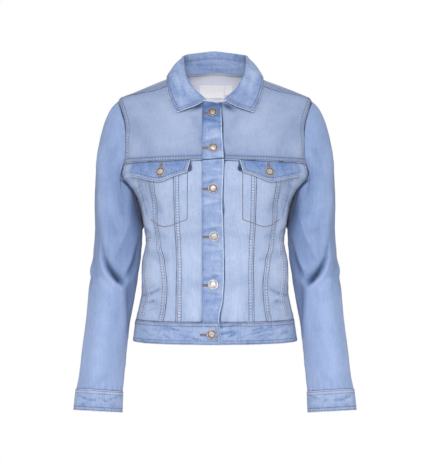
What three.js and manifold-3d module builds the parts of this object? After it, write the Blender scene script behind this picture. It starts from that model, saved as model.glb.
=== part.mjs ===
// A light blue denim jacket, buttoned up and filled out as it hangs when worn. All sizes are millimetres.
// +Z is up, the front faces -Y and +X is the wearer's left. The origin lies at the middle of the neck,
// at the height where the shoulder line meets the neck.
import * as THREE from "three";
import { mergeVertices } from "three/addons/utils/BufferGeometryUtils.js";
import Module from "manifold-3d";

const wasm = await Module();
wasm.setup();

// Driving dimensions
const CLOTH = 1.4; // one layer of denim
const FOLDED_CLOTH = 2.0; // a band of two layers: placket, flap, collar
const BAND_CLOTH = 2.4; // the waistband and the cuffs
const SEAM_GAP = 0.3; // between neighbours that are sewn edge to edge
const LAY_GAP = 0.7; // between a piece and the one that it lies on
const HEM_Z = -505.5;
const WAIST_SEAM_Z = -466;
const BAND_RISE = 0.8; // how far the waistband stands proud of the body
const YOKE_CENTRE_Z = -162; // the front yoke seam at the centre front
const BACK_YOKE_CENTRE_Z = -128;
const PLACKET_SEAM_X = -23; // the placket is sewn to the right front here
const FRONT_EDGE_X = 18; // how far each front reaches past or short of the centre, under the placket
const BUTTON_RADIUS = 8.8;
const SHANK_RADIUS = 2.5;
const EYELET_RADIUS = 3.2;
const CUFF_DEPTH = 37;
const LABEL_CLOTH = 0.8;

// Horizontal sections of the body. halfWidth reaches the side, front and back are the depths at the
// centre lines, and square is the exponent of the oval, where 2 is an ellipse.
const BODY_SECTIONS = [
  { z: 20, halfWidth: 26, front: 30, back: 44, square: 2 },
  { z: 8, halfWidth: 51, front: 37, back: 56, square: 2 },
  { z: 0, halfWidth: 70, front: 40, back: 62, square: 2 },
  { z: -10, halfWidth: 91, front: 43, back: 67, square: 2 },
  { z: -26, halfWidth: 131.5, front: 48.5, back: 75, square: 2 },
  { z: -38, halfWidth: 160, front: 53, back: 79, square: 2 },
  { z: -50, halfWidth: 181.5, front: 58, back: 82.5, square: 2.05 },
  { z: -62, halfWidth: 184.5, front: 64, back: 85.5, square: 2.1 },
  { z: -80, halfWidth: 187, front: 73.5, back: 89.5, square: 2.15 },
  { z: -110, halfWidth: 185.5, front: 89.5, back: 94.5, square: 2.2 },
  { z: -145, halfWidth: 180.5, front: 104, back: 98, square: 2.3 },
  { z: -158, halfWidth: 179.5, front: 108, back: 98.5, square: 2.3 },
  { z: -175, halfWidth: 182, front: 112.5, back: 98, square: 2.28 },
  { z: -190, halfWidth: 183.5, front: 115.5, back: 97, square: 2.26 },
  { z: -199, halfWidth: 179, front: 117, back: 96, square: 2.25 },
  { z: -208, halfWidth: 169, front: 117.8, back: 95, square: 2.25 },
  { z: -216, halfWidth: 160.5, front: 118, back: 94, square: 2.24 },
  { z: -226, halfWidth: 152.5, front: 117.8, back: 93, square: 2.22 },
  { z: -239, halfWidth: 147, front: 117, back: 91, square: 2.2 },
  { z: -255, halfWidth: 141, front: 115, back: 88.5, square: 2.2 },
  { z: -272, halfWidth: 137.5, front: 112, back: 85.5, square: 2.2 },
  { z: -300, halfWidth: 133, front: 106.5, back: 80.5, square: 2.2 },
  { z: -318, halfWidth: 130.5, front: 104, back: 79, square: 2.2 },
  { z: -334, halfWidth: 133, front: 103, back: 79.5, square: 2.2 },
  { z: -356, halfWidth: 137.5, front: 103, back: 81.5, square: 2.22 },
  { z: -380, halfWidth: 138.5, front: 104.5, back: 85, square: 2.25 },
  { z: -412, halfWidth: 138.5, front: 107, back: 89.5, square: 2.28 },
  { z: -437, halfWidth: 142.5, front: 109.5, back: 93.5, square: 2.3 },
  { z: -466, halfWidth: 149, front: 112, back: 97.5, square: 2.3 },
  { z: -485, halfWidth: 152, front: 113, back: 99.5, square: 2.3 },
  { z: -504, halfWidth: 154.5, front: 113.5, back: 101, square: 2.3 },
];

// Places of the two upright seams of each front and of the one of each back, from the centre line.
const FRONT_SEAMS = [
  { z: -466, inner: 69.5, outer: 97.5 },
  { z: -437, inner: 69.5, outer: 92.5 },
  { z: -400, inner: 69, outer: 90 },
  { z: -368, inner: 68.5, outer: 93 },
  { z: -330, inner: 69.5, outer: 101 },
  { z: -290, inner: 71.5, outer: 107.5 },
  { z: -240, inner: 73, outer: 112 },
  { z: -168, inner: 74, outer: 117 },
];
const BACK_SEAMS = [
  { z: -466, x: 50 },
  { z: -380, x: 54 },
  { z: -300, x: 63 },
  { z: -220, x: 78 },
  { z: -122, x: 98 },
];

// The armhole, seen from the side. Its angle is 0 at the shoulder, 90 at the front, 180 under the arm.
const ARMHOLE = {
  topZ: -50,
  midZ: -148,
  bottomZ: -239,
  frontReach: 50,
  backReach: 47,
  upperPower: 1.4,
  lowerPower: 1.2,
};
const ARM_STEP = 15; // degrees between the points round a sleeve
const FRONT_YOKE_ANGLE = 105;
const SHOULDER_SEAM_ANGLE = 15;
const BACK_YOKE_ANGLE = 285;
const BACK_ARM_SEAM_ANGLE = 285;

// The neck opening, seen from above, is an oval. The shoulder seam starts at its angle from the front.
const NECK = { halfWidth: 70, front: 63, back: 57, square: 2.2, seamAngle: 62, endAngle: 17 };
const SHOULDER_SEAM_BOW = 9; // how far the shoulder seam bows forward between neck and armhole

// Sections of the sleeve below the arm pit, across the arm. tilt turns the section's outer side up
// and pitch turns its front up, in degrees.
const ARM_SECTIONS = [
  { z: -262, x: 186.3, halfWidth: 43.2, y: 3, halfDepth: 55, tilt: 0, pitch: 0 },
  { z: -300, x: 183.6, halfWidth: 45.4, y: 5, halfDepth: 52.5, tilt: 1, pitch: -1 },
  { z: -346, x: 187, halfWidth: 45.2, y: 6, halfDepth: 49, tilt: 2, pitch: 1 },
  { z: -380, x: 192, halfWidth: 45.5, y: 4, halfDepth: 46.5, tilt: 4, pitch: 5 },
  { z: -425, x: 197, halfWidth: 43.8, y: -3, halfDepth: 44, tilt: 4, pitch: 8 },
  { z: -471, x: 202.5, halfWidth: 42.3, y: -12, halfDepth: 41, tilt: 4, pitch: 9 },
  { z: -517, x: 208, halfWidth: 41.6, y: -21, halfDepth: 38.5, tilt: 4, pitch: 9 },
  { z: -562, x: 212.5, halfWidth: 41.8, y: -30, halfDepth: 36, tilt: 4, pitch: 9 },
  { z: -598, x: 216.5, halfWidth: 42.9, y: -37, halfDepth: 34, tilt: 3.5, pitch: 8 },
  { z: -640, x: 219, halfWidth: 44, y: -44, halfDepth: 34.5, tilt: 3, pitch: 7 },
];
const ARM_ROWS = [-262, -288, -316, -340, -358, -374, -390, -408, -434, -470, -512, -556, -598];
const CAP_ROWS = 5; // between the armhole and the first section

// Folds in the sleeve, as troughs where depth is below 0 and ridges where it is above. Each runs
// straight from one place to another, by angle round the arm and height.
const ARM_FOLDS = [
  { fromAngle: 50, fromZ: -332, toAngle: 82, toZ: -368, width: 9, depth: -3.2 },
  { fromAngle: 82, fromZ: -368, toAngle: 112, toZ: -394, width: 11, depth: -6.5 },
  { fromAngle: 152, fromZ: -346, toAngle: 116, toZ: -392, width: 9, depth: -4 },
  { fromAngle: 124, fromZ: -272, toAngle: 86, toZ: -354, width: 7, depth: 1.8 },
  { fromAngle: 60, fromZ: -392, toAngle: 118, toZ: -408, width: 14, depth: 2.6 },
  { fromAngle: 262, fromZ: -330, toAngle: 300, toZ: -372, width: 15, depth: 2.5 },
  { fromAngle: 200, fromZ: -352, toAngle: 250, toZ: -392, width: 12, depth: -3 },
  { fromAngle: 30, fromZ: -150, toAngle: 60, toZ: -240, width: 16, depth: 1.6 },
  { fromAngle: 300, fromZ: -150, toAngle: 290, toZ: -250, width: 18, depth: -2 },
];

// Folds in the body, seen from the front or, with back set, from behind. Both sides have them.
const BODY_FOLDS = [
  { fromX: 136, fromZ: -212, toX: 104, toZ: -262, width: 12, depth: -2.2 },
  { fromX: 134, fromZ: -412, toX: 104, toZ: -404, width: 8, depth: -2.2 },
  { fromX: 136, fromZ: -385, toX: 112, toZ: -372, width: 16, depth: 2 },
  { fromX: 120, fromZ: -200, toX: 80, toZ: -250, width: 14, depth: -2.4, back: true },
  { fromX: 110, fromZ: -310, toX: 20, toZ: -322, width: 14, depth: -2.4, back: true },
  { fromX: 100, fromZ: -350, toX: 30, toZ: -356, width: 16, depth: 2, back: true },
];

// The collar from the centre back to the front end, by its angle round the neck. height and lean give
// the fold line above the neck seam and inwards from it, and edge gives the free edge.
const COLLAR_SECTIONS = [
  { angle: 180, height: 42, lean: -4, edgeX: 0, edgeY: 88, edgeZ: 0 },
  { angle: 155, height: 42, lean: -2, edgeX: 38, edgeY: 82, edgeZ: -3 },
  { angle: 130, height: 39, lean: 3, edgeX: 66, edgeY: 59, edgeZ: -5 },
  { angle: 108, height: 35, lean: 10, edgeX: 83, edgeY: 28, edgeZ: -4 },
  { angle: 90, height: 31, lean: 12, edgeX: 90, edgeY: 2, edgeZ: -4 },
  { angle: 75, height: 23, lean: 10, edgeX: 91.5, edgeY: -21, edgeZ: -11 },
  { angle: 60, height: 14, lean: 6, edgeX: 91, edgeY: -39, edgeZ: -24 },
  { angle: 45, height: 10, lean: 4.5, edgeX: 87.5, edgeY: -53, edgeZ: -42 },
  { angle: 30, height: 8.5, lean: 3.5, edgeX: 81, edgeY: -65, edgeZ: -61 },
  { angle: 17, height: 7, lean: 2.5, edgeX: 71, edgeY: -75.5, edgeZ: -79 },
];
const COLLAR_ROLL = 5.5; // across the fold, from face to face
const COLLAR_SWELL = 3.2; // how far the fall bulges between fold and edge
const STAND_SHARE = 0.8; // of the rise to the fold that the collar stand takes

// The buttons that close the placket, by height, and the one that closes the waistband.
const FRONT_BUTTONS = [-80, -146, -221.5, -306, -395];
const FRONT_BUTTON_X = -2;
const WAIST_BUTTON = { x: -6, z: -485.5 };
const POCKET_BUTTON = { x: 99.3, z: -191 };
const BUTTONHOLE_LENGTH = 17;

// The pocket flap from its inner end to its outer one, with its drop below the yoke seam.
const FLAP_OUTLINE = [
  { x: 45, topZ: -165.5, bottomZ: -190.5 },
  { x: 60, topZ: -167, bottomZ: -194.5 },
  { x: 80, topZ: -168.5, bottomZ: -201 },
  { x: 100, topZ: -169.8, bottomZ: -207 },
  { x: 120, topZ: -170.8, bottomZ: -203.5 },
  { x: 138, topZ: -171.6, bottomZ: -199 },
  { x: 151, topZ: -172.3, bottomZ: -195.5 },
];
// The welt of each side pocket slants down a front side panel. Its angles go round the body from the front.
const WELT = {
  topZ: -311,
  bottomZ: -455,
  topAngle: 66.4,
  bottomAngle: 62.5,
  width: 13,
  proud: 1.2,
  gap: 1.3,
};

// The free edge of the placket runs down in a slight wave.
const PLACKET_EDGE = [
  { z: -466, x: 7.5 },
  { z: -452, x: 8 },
  { z: -425, x: 13.5 },
  { z: -380, x: 16 },
  { z: -330, x: 15.5 },
  { z: -290, x: 14.5 },
  { z: -250, x: 13 },
  { z: -215, x: 14 },
  { z: -170, x: 15.5 },
  { z: -140, x: 14 },
  { z: -100, x: 12 },
  { z: -72, x: 11.5 },
];

// Woven labels inside the back of the neck
const LABELS = [
  { name: "neck_label", fromX: -30, toX: 18, topZ: -14, height: 24 },
  { name: "size_label", fromX: 19, toX: 34, topZ: -14, height: 18 },
];

const COLOURS = {
  denim: { color: 0x9db6dc, roughness: 0.9, metalness: 0 },
  yokeDenim: { color: 0xa9bbda, roughness: 0.9, metalness: 0 },
  bandDenim: { color: 0x8faadb, roughness: 0.9, metalness: 0 },
  metal: { color: 0xb9b2a4, roughness: 0.35, metalness: 0.9 },
  label: { color: 0xf0f0ec, roughness: 0.7, metalness: 0 },
};
const MATERIALS = Object.fromEntries(
  Object.entries(COLOURS).map(([name, look]) => [name, new THREE.MeshStandardMaterial(look)]),
);

const radians = (degrees) => THREE.MathUtils.degToRad(degrees);
const mix = (from, to, share) => from + (to - from) * share;
const range = (count) => Array.from({ length: count + 1 }, (_, i) => i / count);

// A smooth curve through one column of a table, with no overshoot.
function follow(table, input, output) {
  const rows = [...table].sort((p, q) => p[input] - q[input]);
  const t = rows.map((row) => row[input]);
  const v = rows.map((row) => row[output]);
  const last = t.length - 1;
  const step = range(last - 1).map((_, i) => (v[i + 1] - v[i]) / (t[i + 1] - t[i]));
  const slope = v.map((_, i) => {
    if (i === 0) return step[0];
    if (i === last) return step[last - 1];
    return step[i - 1] * step[i] <= 0 ? 0 : (2 * step[i - 1] * step[i]) / (step[i - 1] + step[i]);
  });
  return (at) => {
    if (at <= t[0]) return v[0];
    if (at >= t[last]) return v[last];
    const i = t.findIndex((_, k) => at < t[k + 1]);
    const span = t[i + 1] - t[i];
    const s = (at - t[i]) / span;
    const rise = (3 - 2 * s) * s * s;
    const hump = s * (1 - s) * span;
    return mix(v[i], v[i + 1], rise) + hump * ((1 - s) * slope[i] - s * slope[i + 1]);
  };
}

const halfWidthAt = follow(BODY_SECTIONS, "z", "halfWidth");
const frontAt = follow(BODY_SECTIONS, "z", "front");
const backAt = follow(BODY_SECTIONS, "z", "back");
const squareAt = follow(BODY_SECTIONS, "z", "square");
const innerSeamX = follow(FRONT_SEAMS, "z", "inner");
const outerSeamX = follow(FRONT_SEAMS, "z", "outer");
const backSeamX = follow(BACK_SEAMS, "z", "x");
const placketEdgeX = follow(PLACKET_EDGE, "z", "x");

// How far a point lies outside the body's form, as a share of the section's size.
function outsideBody(x, y, z) {
  const n = squareAt(z);
  const depth = y < 0 ? frontAt(z) : backAt(z);
  return (Math.abs(x / halfWidthAt(z)) ** n + Math.abs(y / depth) ** n) ** (1 / n) - 1;
}

const PROBE = 0.02; // step of the slopes that are measured on the form
function bodyGradient(p) {
  const slope = (dx, dy, dz) =>
    (outsideBody(p.x + dx, p.y + dy, p.z + dz) - outsideBody(p.x - dx, p.y - dy, p.z - dz)) / (2 * PROBE);
  return new THREE.Vector3(slope(PROBE, 0, 0), slope(0, PROBE, 0), slope(0, 0, PROBE));
}
const bodyNormal = (p) => bodyGradient(p).normalize();

function snapToBody(p) {
  for (let round = 0; round < 6; round += 1) {
    const g = bodyGradient(p);
    p.addScaledVector(g, -outsideBody(p.x, p.y, p.z) / g.lengthSq());
  }
  return p;
}

// A point of the body's front (face -1) or back (face 1) by its place across and its height.
function bodyPoint(x, z, face) {
  const n = squareAt(z);
  const depth = face < 0 ? frontAt(z) : backAt(z);
  const left = Math.max(0, 1 - Math.abs(x / halfWidthAt(z)) ** n);
  return new THREE.Vector3(x, face * depth * left ** (1 / n), z);
}

// The height of the body's form above a point of the plan, near the shoulders.
function onShoulder(x, y) {
  let low = -82;
  let high = 19;
  for (let round = 0; round < 40; round += 1) {
    const middle = (low + high) / 2;
    if (outsideBody(x, y, middle) > 0) high = middle;
    else low = middle;
  }
  return new THREE.Vector3(x, y, low);
}

function armholePoint(angle) {
  const c = Math.cos(radians(angle));
  const s = Math.sin(radians(angle));
  const height = c > 0 ? ARMHOLE.topZ - ARMHOLE.midZ : ARMHOLE.midZ - ARMHOLE.bottomZ;
  const power = c > 0 ? ARMHOLE.upperPower : ARMHOLE.lowerPower;
  const reach = s > 0 ? -ARMHOLE.frontReach : ARMHOLE.backReach;
  const z = ARMHOLE.midZ + height * c;
  const y = reach * Math.abs(s) ** power;
  const n = squareAt(z);
  const depth = y < 0 ? frontAt(z) : backAt(z);
  return new THREE.Vector3(halfWidthAt(z) * (1 - Math.abs(y / depth) ** n) ** (1 / n), y, z);
}

function neckPoint(angle) {
  const s = Math.abs(Math.sin(radians(angle))) ** (2 / NECK.square);
  const c = Math.abs(Math.cos(radians(angle))) ** (2 / NECK.square);
  const x = NECK.halfWidth * s * (angle > 180 ? -1 : 1);
  return onShoulder(x, angle < 90 ? -NECK.front * c : NECK.back * c);
}

// A soft trough or ridge along a straight line, in a plane of two coordinates.
function foldHeight(u, v, fold, fromU, fromV, toU, toV) {
  const du = toU - fromU;
  const dv = toV - fromV;
  const along = THREE.MathUtils.clamp(((u - fromU) * du + (v - fromV) * dv) / (du * du + dv * dv), 0, 1);
  const away = Math.hypot(u - fromU - along * du, v - fromV - along * dv) / fold.width;
  return fold.depth * Math.exp(-away * away);
}

function bodyFold(p) {
  const height = BODY_FOLDS.reduce((sum, fold) => {
    if (Boolean(fold.back) !== p.y > 0) return sum;
    return sum + foldHeight(Math.abs(p.x), p.z, fold, fold.fromX, fold.fromZ, fold.toX, fold.toZ);
  }, 0);
  return height * THREE.MathUtils.smoothstep(Math.abs(p.y), 6, 30);
}

// A patch between four edges: fromBottom and toTop run across, left and right run up.
function patch(bottom, top, left, right) {
  const across = bottom.length - 1;
  const up = left.length - 1;
  return left.map((leftPoint, j) =>
    bottom.map((bottomPoint, i) => {
      if (j === 0) return bottomPoint.clone();
      if (j === up) return top[i].clone();
      if (i === 0) return leftPoint.clone();
      if (i === across) return right[j].clone();
      const u = i / across;
      const v = j / up;
      const p = new THREE.Vector3();
      p.addScaledVector(bottomPoint, 1 - v).addScaledVector(top[i], v);
      p.addScaledVector(leftPoint, 1 - u).addScaledVector(right[j], u);
      p.addScaledVector(bottom[0], -(1 - u) * (1 - v)).addScaledVector(bottom[across], -u * (1 - v));
      p.addScaledVector(top[0], -(1 - u) * v).addScaledVector(top[across], -u * v);
      return snapToBody(p);
    }),
  );
}

// Draws the edges of a grid of points back by half the gap of a seam.
function drawBack(grid, sides, gap = SEAM_GAP) {
  const rows = grid.length - 1;
  const columns = grid[0].length - 1;
  const moved = grid.map((row) => row.map((p) => p.clone()));
  const pull = (j, i, nextJ, nextI) => {
    const way = grid[nextJ][nextI].clone().sub(grid[j][i]);
    moved[j][i].addScaledVector(way.normalize(), gap * 0.6);
  };
  for (let i = 0; i <= columns; i += 1) {
    if (sides.bottom) pull(0, i, 1, i);
    if (sides.top) pull(rows, i, rows - 1, i);
  }
  for (let j = 0; j <= rows; j += 1) {
    if (sides.left) pull(j, 0, j, 1);
    if (sides.right) pull(j, columns, j, columns - 1);
  }
  return moved;
}

const ALL_SIDES = { bottom: true, top: true, left: true, right: true };

// The closed wall between an outer and an inner grid of points. wrap closes each row on itself.
function wallGeometry(outer, inner, wrap = false) {
  const rows = outer.length;
  const columns = outer[0].length;
  const points = [...outer.flat(), ...inner.flat()];
  const at = (side, j, i) => side * rows * columns + j * columns + (i % columns);
  const faces = [];
  const quad = (a, b, c, d) => faces.push(a, b, c, a, c, d);
  const lastColumn = wrap ? columns : columns - 1;
  for (let j = 0; j < rows - 1; j += 1) {
    for (let i = 0; i < lastColumn; i += 1) {
      quad(at(0, j, i), at(0, j, i + 1), at(0, j + 1, i + 1), at(0, j + 1, i));
      quad(at(1, j, i), at(1, j + 1, i), at(1, j + 1, i + 1), at(1, j, i + 1));
    }
  }
  for (let i = 0; i < lastColumn; i += 1) {
    quad(at(0, 0, i), at(1, 0, i), at(1, 0, i + 1), at(0, 0, i + 1));
    quad(at(0, rows - 1, i), at(0, rows - 1, i + 1), at(1, rows - 1, i + 1), at(1, rows - 1, i));
  }
  if (!wrap) {
    for (let j = 0; j < rows - 1; j += 1) {
      quad(at(0, j, 0), at(0, j + 1, 0), at(1, j + 1, 0), at(1, j, 0));
      const end = columns - 1;
      quad(at(0, j, end), at(1, j, end), at(1, j + 1, end), at(0, j + 1, end));
    }
  }
  return facingOut(points, faces);
}

function facingOut(points, faces) {
  let volume = 0;
  for (let k = 0; k < faces.length; k += 3) {
    const [a, b, c] = [points[faces[k]], points[faces[k + 1]], points[faces[k + 2]]];
    volume += a.dot(b.clone().cross(c));
  }
  const ordered = volume < 0 ? [...faces].reverse() : faces;
  const geometry = new THREE.BufferGeometry();
  geometry.setAttribute("position", new THREE.Float32BufferAttribute(points.flatMap((p) => p.toArray()), 3));
  geometry.setIndex(ordered);
  return geometry;
}

// A wall on the body's form. rise is the height of its outer face over the form, or a function of the
// point, and depth is its thickness.
function bodyWall(grid, depth = CLOTH, rise = 0) {
  const riseAt = typeof rise === "function" ? rise : () => rise;
  const outer = grid.map((row) =>
    row.map((p) => p.clone().addScaledVector(bodyNormal(p), bodyFold(p) + riseAt(p))),
  );
  const inner = outer.map((row, j) =>
    row.map((p, i) => p.clone().addScaledVector(bodyNormal(grid[j][i]), -depth)),
  );
  return wallGeometry(outer, inner);
}

const jacket = new THREE.Group();

function add(name, geometry, material) {
  const mesh = new THREE.Mesh(geometry, MATERIALS[material]);
  mesh.name = name;
  jacket.add(mesh);
  return mesh;
}

function mirrored(geometry) {
  const copy = geometry.clone().scale(-1, 1, 1);
  const order = [...copy.index.array].reverse();
  copy.setIndex(order);
  return copy;
}

// The same piece for both sides of the wearer: it is shaped on the left, and mirrored for the right.
function addPair(name, geometry, material) {
  add(`${name}_left`, geometry, material);
  add(`${name}_right`, mirrored(geometry), material);
}

// Heights of the rows of points, from the waist seam to the armhole and up it.
const LOWER_ROWS = [WAIST_SEAM_Z, -440, -414, -388, -358, -326, -300, -276, -256];
const armAngles = (from, to, step = ARM_STEP) =>
  range(Math.round(Math.abs(to - from) / step)).map((share) => mix(from, to, share));
const FRONT_ARM_ANGLES = armAngles(180, FRONT_YOKE_ANGLE);
const BACK_ARM_ANGLES = armAngles(180, BACK_YOKE_ANGLE);
const FRONT_ARM_Z = armholePoint(FRONT_YOKE_ANGLE).z;
const BACK_ARM_Z = armholePoint(BACK_YOKE_ANGLE).z;

const frontYokeSeamZ = (x) => mix(YOKE_CENTRE_Z, FRONT_ARM_Z, Math.min(1, Math.abs(x) / 165) ** 0.8);
const backYokeSeamZ = (x) => mix(BACK_YOKE_CENTRE_Z, BACK_ARM_Z, Math.min(1, Math.abs(x) / 165));

// The rows of one upright line, given the place across by height. The upper rows close up on the seam.
function uprightLine(xAt, face) {
  const angles = face < 0 ? FRONT_ARM_ANGLES : BACK_ARM_ANGLES;
  const seamZ = face < 0 ? frontYokeSeamZ : backYokeSeamZ;
  const armZ = face < 0 ? FRONT_ARM_Z : BACK_ARM_Z;
  const heights = [...LOWER_ROWS, ...angles.map((angle) => armholePoint(angle).z)];
  return heights.map((level, k) => {
    const share = Math.max(0, 1 - (heights.length - 1 - k) * 0.2);
    let z = level;
    for (let round = 0; round < 4; round += 1) z = level + share * (seamZ(xAt(z)) - armZ);
    return bodyPoint(xAt(z), z, face);
  });
}

function sideLine(face) {
  const angles = face < 0 ? FRONT_ARM_ANGLES : BACK_ARM_ANGLES;
  return [...LOWER_ROWS.map((z) => bodyPoint(halfWidthAt(z), z, face)), ...angles.map(armholePoint)];
}

// Points of a level line between two points, spread by the angle round the section.
function levelLine(from, to, columns, zAt, face) {
  const angleOf = (p) => {
    const reach = Math.min(1, Math.abs(p.x / halfWidthAt(p.z)));
    return Math.asin(reach ** (squareAt(p.z) / 2)) * Math.sign(p.x);
  };
  return range(columns).map((share, i) => {
    if (i === 0) return from.clone();
    if (i === columns) return to.clone();
    const angle = mix(angleOf(from), angleOf(to), share);
    let z = mix(from.z, to.z, share);
    let x = 0;
    for (let round = 0; round < 4; round += 1) {
      x = halfWidthAt(z) * Math.sign(angle) * Math.abs(Math.sin(angle)) ** (2 / squareAt(z));
      z = zAt(x);
    }
    return bodyPoint(x, z, face);
  });
}

const waistLevel = () => WAIST_SEAM_Z;

function lowerPanel(left, right, columns, face) {
  const seamZ = face < 0 ? frontYokeSeamZ : backYokeSeamZ;
  const top = left.length - 1;
  return {
    bottom: levelLine(left[0], right[0], columns, waistLevel, face),
    top: levelLine(left[top], right[top], columns, seamZ, face),
    left,
    right,
  };
}

const gridOf = (edges) => patch(edges.bottom, edges.top, edges.left, edges.right);

// Front panels of one half, shaped for the left. The centre panel starts at the front edge.
function frontPanels(edgeX) {
  const edge = uprightLine(() => edgeX, -1);
  const inner = uprightLine(innerSeamX, -1);
  const outer = uprightLine(outerSeamX, -1);
  return {
    centre: lowerPanel(edge, inner, 4, -1),
    middle: lowerPanel(inner, outer, 3, -1),
    side: lowerPanel(outer, sideLine(-1), 4, -1),
  };
}

const joinLines = (...lines) => lines.flatMap((line, k) => (k === 0 ? line : line.slice(1)));
const YOKE_ROWS = 11;
function shoulderSeam(steps) {
  const neck = neckPoint(NECK.seamAngle);
  const arm = armholePoint(SHOULDER_SEAM_ANGLE);
  return range(steps).map((share) => {
    if (share === 0) return neck;
    if (share === 1) return arm;
    const bow = SHOULDER_SEAM_BOW * Math.sin(Math.PI * share);
    return onShoulder(mix(neck.x, arm.x, share), mix(neck.y, arm.y, share) - bow);
  });
}

// The angle round the neck at which the neckline has a given place across, in front.
function neckAngleAt(x) {
  const reach = Math.abs(x / NECK.halfWidth) ** (NECK.square / 2);
  return THREE.MathUtils.radToDeg(Math.asin(reach)) * Math.sign(x);
}

function neckPointAt(angle) {
  const p = neckPoint(Math.abs(angle));
  p.x *= Math.sign(angle) || 1;
  return p;
}

// The front yoke of the left half, from the front edge and neckline out to the armhole.
function frontYoke(panels, edgeX) {
  const bottom = joinLines(panels.centre.top, panels.middle.top, panels.side.top);
  const armhole = armAngles(FRONT_YOKE_ANGLE, SHOULDER_SEAM_ANGLE, ARM_STEP / 2).map(armholePoint);
  const neckStart = neckAngleAt(edgeX);
  const neckline = range(7).map((share) => neckPointAt(mix(neckStart, NECK.seamAngle, share)));
  const edge = range(5).map((share) => bodyPoint(edgeX, mix(bottom[0].z, neckline[0].z, share), -1));
  return patch(bottom, shoulderSeam(bottom.length - 1), joinLines(edge, neckline), armhole);
}

const FRONT_MATERIAL = { centre: "denim", middle: "denim", side: "denim" };
for (const [side, edgeX] of [["left", -FRONT_EDGE_X + 0.5], ["right", FRONT_EDGE_X + 2]]) {
  const panels = frontPanels(edgeX);
  const place = (geometry) => (side === "left" ? geometry : mirrored(geometry));
  for (const [name, material] of Object.entries(FRONT_MATERIAL)) {
    const grid = drawBack(gridOf(panels[name]), ALL_SIDES);
    add(`front_${name}_${side}`, place(bodyWall(grid)), material);
  }
  add(`front_yoke_${side}`, place(bodyWall(drawBack(frontYoke(panels, edgeX), ALL_SIDES))), "yokeDenim");
}

// Back panels. The centre panel and the yoke cross the centre line, so the left half is mirrored on.
const mirrorPoint = (p) => new THREE.Vector3(-p.x, p.y, p.z);
const acrossCentre = (grid) => grid.map((row) => [...row.slice(1).reverse().map(mirrorPoint), ...row]);
const backCentreLine = uprightLine(() => 0, 1);
const backSeamLine = uprightLine(backSeamX, 1);
const backCentre = lowerPanel(backCentreLine, backSeamLine, 5, 1);
const backSide = lowerPanel(backSeamLine, sideLine(1), 5, 1);
add("back_centre", bodyWall(drawBack(acrossCentre(gridOf(backCentre)), ALL_SIDES)), "denim");
addPair("back_side", bodyWall(drawBack(gridOf(backSide), ALL_SIDES)), "denim");

// The back yoke runs from the neckline out to the armhole and the back yoke seam, and over the
// shoulder to the seam in front of it. Its columns go round and its rows go outwards.
function backYokeHalf() {
  const outer = joinLines(
    armAngles(SHOULDER_SEAM_ANGLE + 360, BACK_YOKE_ANGLE).map(armholePoint),
    [...backSide.top].reverse(),
    [...backCentre.top].reverse(),
  );
  const columns = outer.length - 1;
  const neckline = range(columns).map((share) => neckPoint(mix(NECK.seamAngle, 180, share)));
  const centre = range(YOKE_ROWS).map((share) => {
    const z = mix(neckline[columns].z, BACK_YOKE_CENTRE_Z, share);
    return share === 0 ? neckline[columns].clone() : bodyPoint(0, z, 1);
  });
  return patch(neckline, outer, shoulderSeam(YOKE_ROWS), centre);
}
const yokeHalf = backYokeHalf();
const wholeYoke = yokeHalf.map((row) => [...row, ...row.slice(0, -1).reverse().map(mirrorPoint)]);
add("back_yoke", bodyWall(drawBack(wholeYoke, ALL_SIDES)), "yokeDenim");

// The waistband in three lengths. The right one ends over the left one at the centre front.
const OVERLAP_RISE = BAND_CLOTH + LAY_GAP;
const overlapLift = (p) => OVERLAP_RISE * THREE.MathUtils.smoothstep(p.x, -46, -24);
function waistbandGrid(from, to, columns, face) {
  const heights = [HEM_Z, mix(HEM_Z, WAIST_SEAM_Z, 0.5), WAIST_SEAM_Z];
  const grid = heights.map((z) =>
    levelLine(bodyPoint(from(z), z, face), bodyPoint(to(z), z, face), columns, () => z, face),
  );
  return drawBack(grid, ALL_SIDES);
}
const rightSideX = (z) => -halfWidthAt(z);
const waistEndX = (z) => mix(13.5, 7.5, (z - HEM_Z) / (WAIST_SEAM_Z - HEM_Z));
const BAND_COLUMNS = 14;
const bandRight = waistbandGrid(rightSideX, waistEndX, BAND_COLUMNS, -1);
const bandLeft = waistbandGrid(() => -FRONT_EDGE_X + 0.5, halfWidthAt, BAND_COLUMNS, -1);
const bandBack = waistbandGrid(rightSideX, halfWidthAt, BAND_COLUMNS * 1.5, 1);
add("waistband_right", bodyWall(bandRight, BAND_CLOTH, (p) => BAND_RISE + overlapLift(p)), "bandDenim");
add("waistband_left", bodyWall(bandLeft, BAND_CLOTH, BAND_RISE), "bandDenim");
add("waistband_back", bodyWall(bandBack, BAND_CLOTH, BAND_RISE), "bandDenim");

// Booleans on the closed walls
function solidOf(geometry) {
  const bare = geometry.clone();
  bare.deleteAttribute("normal");
  bare.deleteAttribute("uv");
  const merged = mergeVertices(bare, 1e-4);
  return new wasm.Manifold(
    new wasm.Mesh({
      numProp: 3,
      vertProperties: new Float32Array(merged.attributes.position.array),
      triVerts: new Uint32Array(merged.index.array),
    }),
  );
}

function geometryOf(solid) {
  const mesh = solid.getMesh();
  const geometry = new THREE.BufferGeometry();
  geometry.setAttribute("position", new THREE.BufferAttribute(mesh.vertProperties, 3));
  geometry.setIndex(new THREE.BufferAttribute(mesh.triVerts, 1));
  return geometry;
}

// The place of a button: a point of the body's front and the frame that has its Y axis outwards.
function buttonFrame(x, z, rise) {
  const p = bodyPoint(x, z, -1);
  const out = bodyNormal(p);
  const turn = new THREE.Quaternion().setFromUnitVectors(new THREE.Vector3(0, 1, 0), out);
  return new THREE.Matrix4().compose(p.addScaledVector(out, rise), turn, new THREE.Vector3(1, 1, 1));
}

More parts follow.
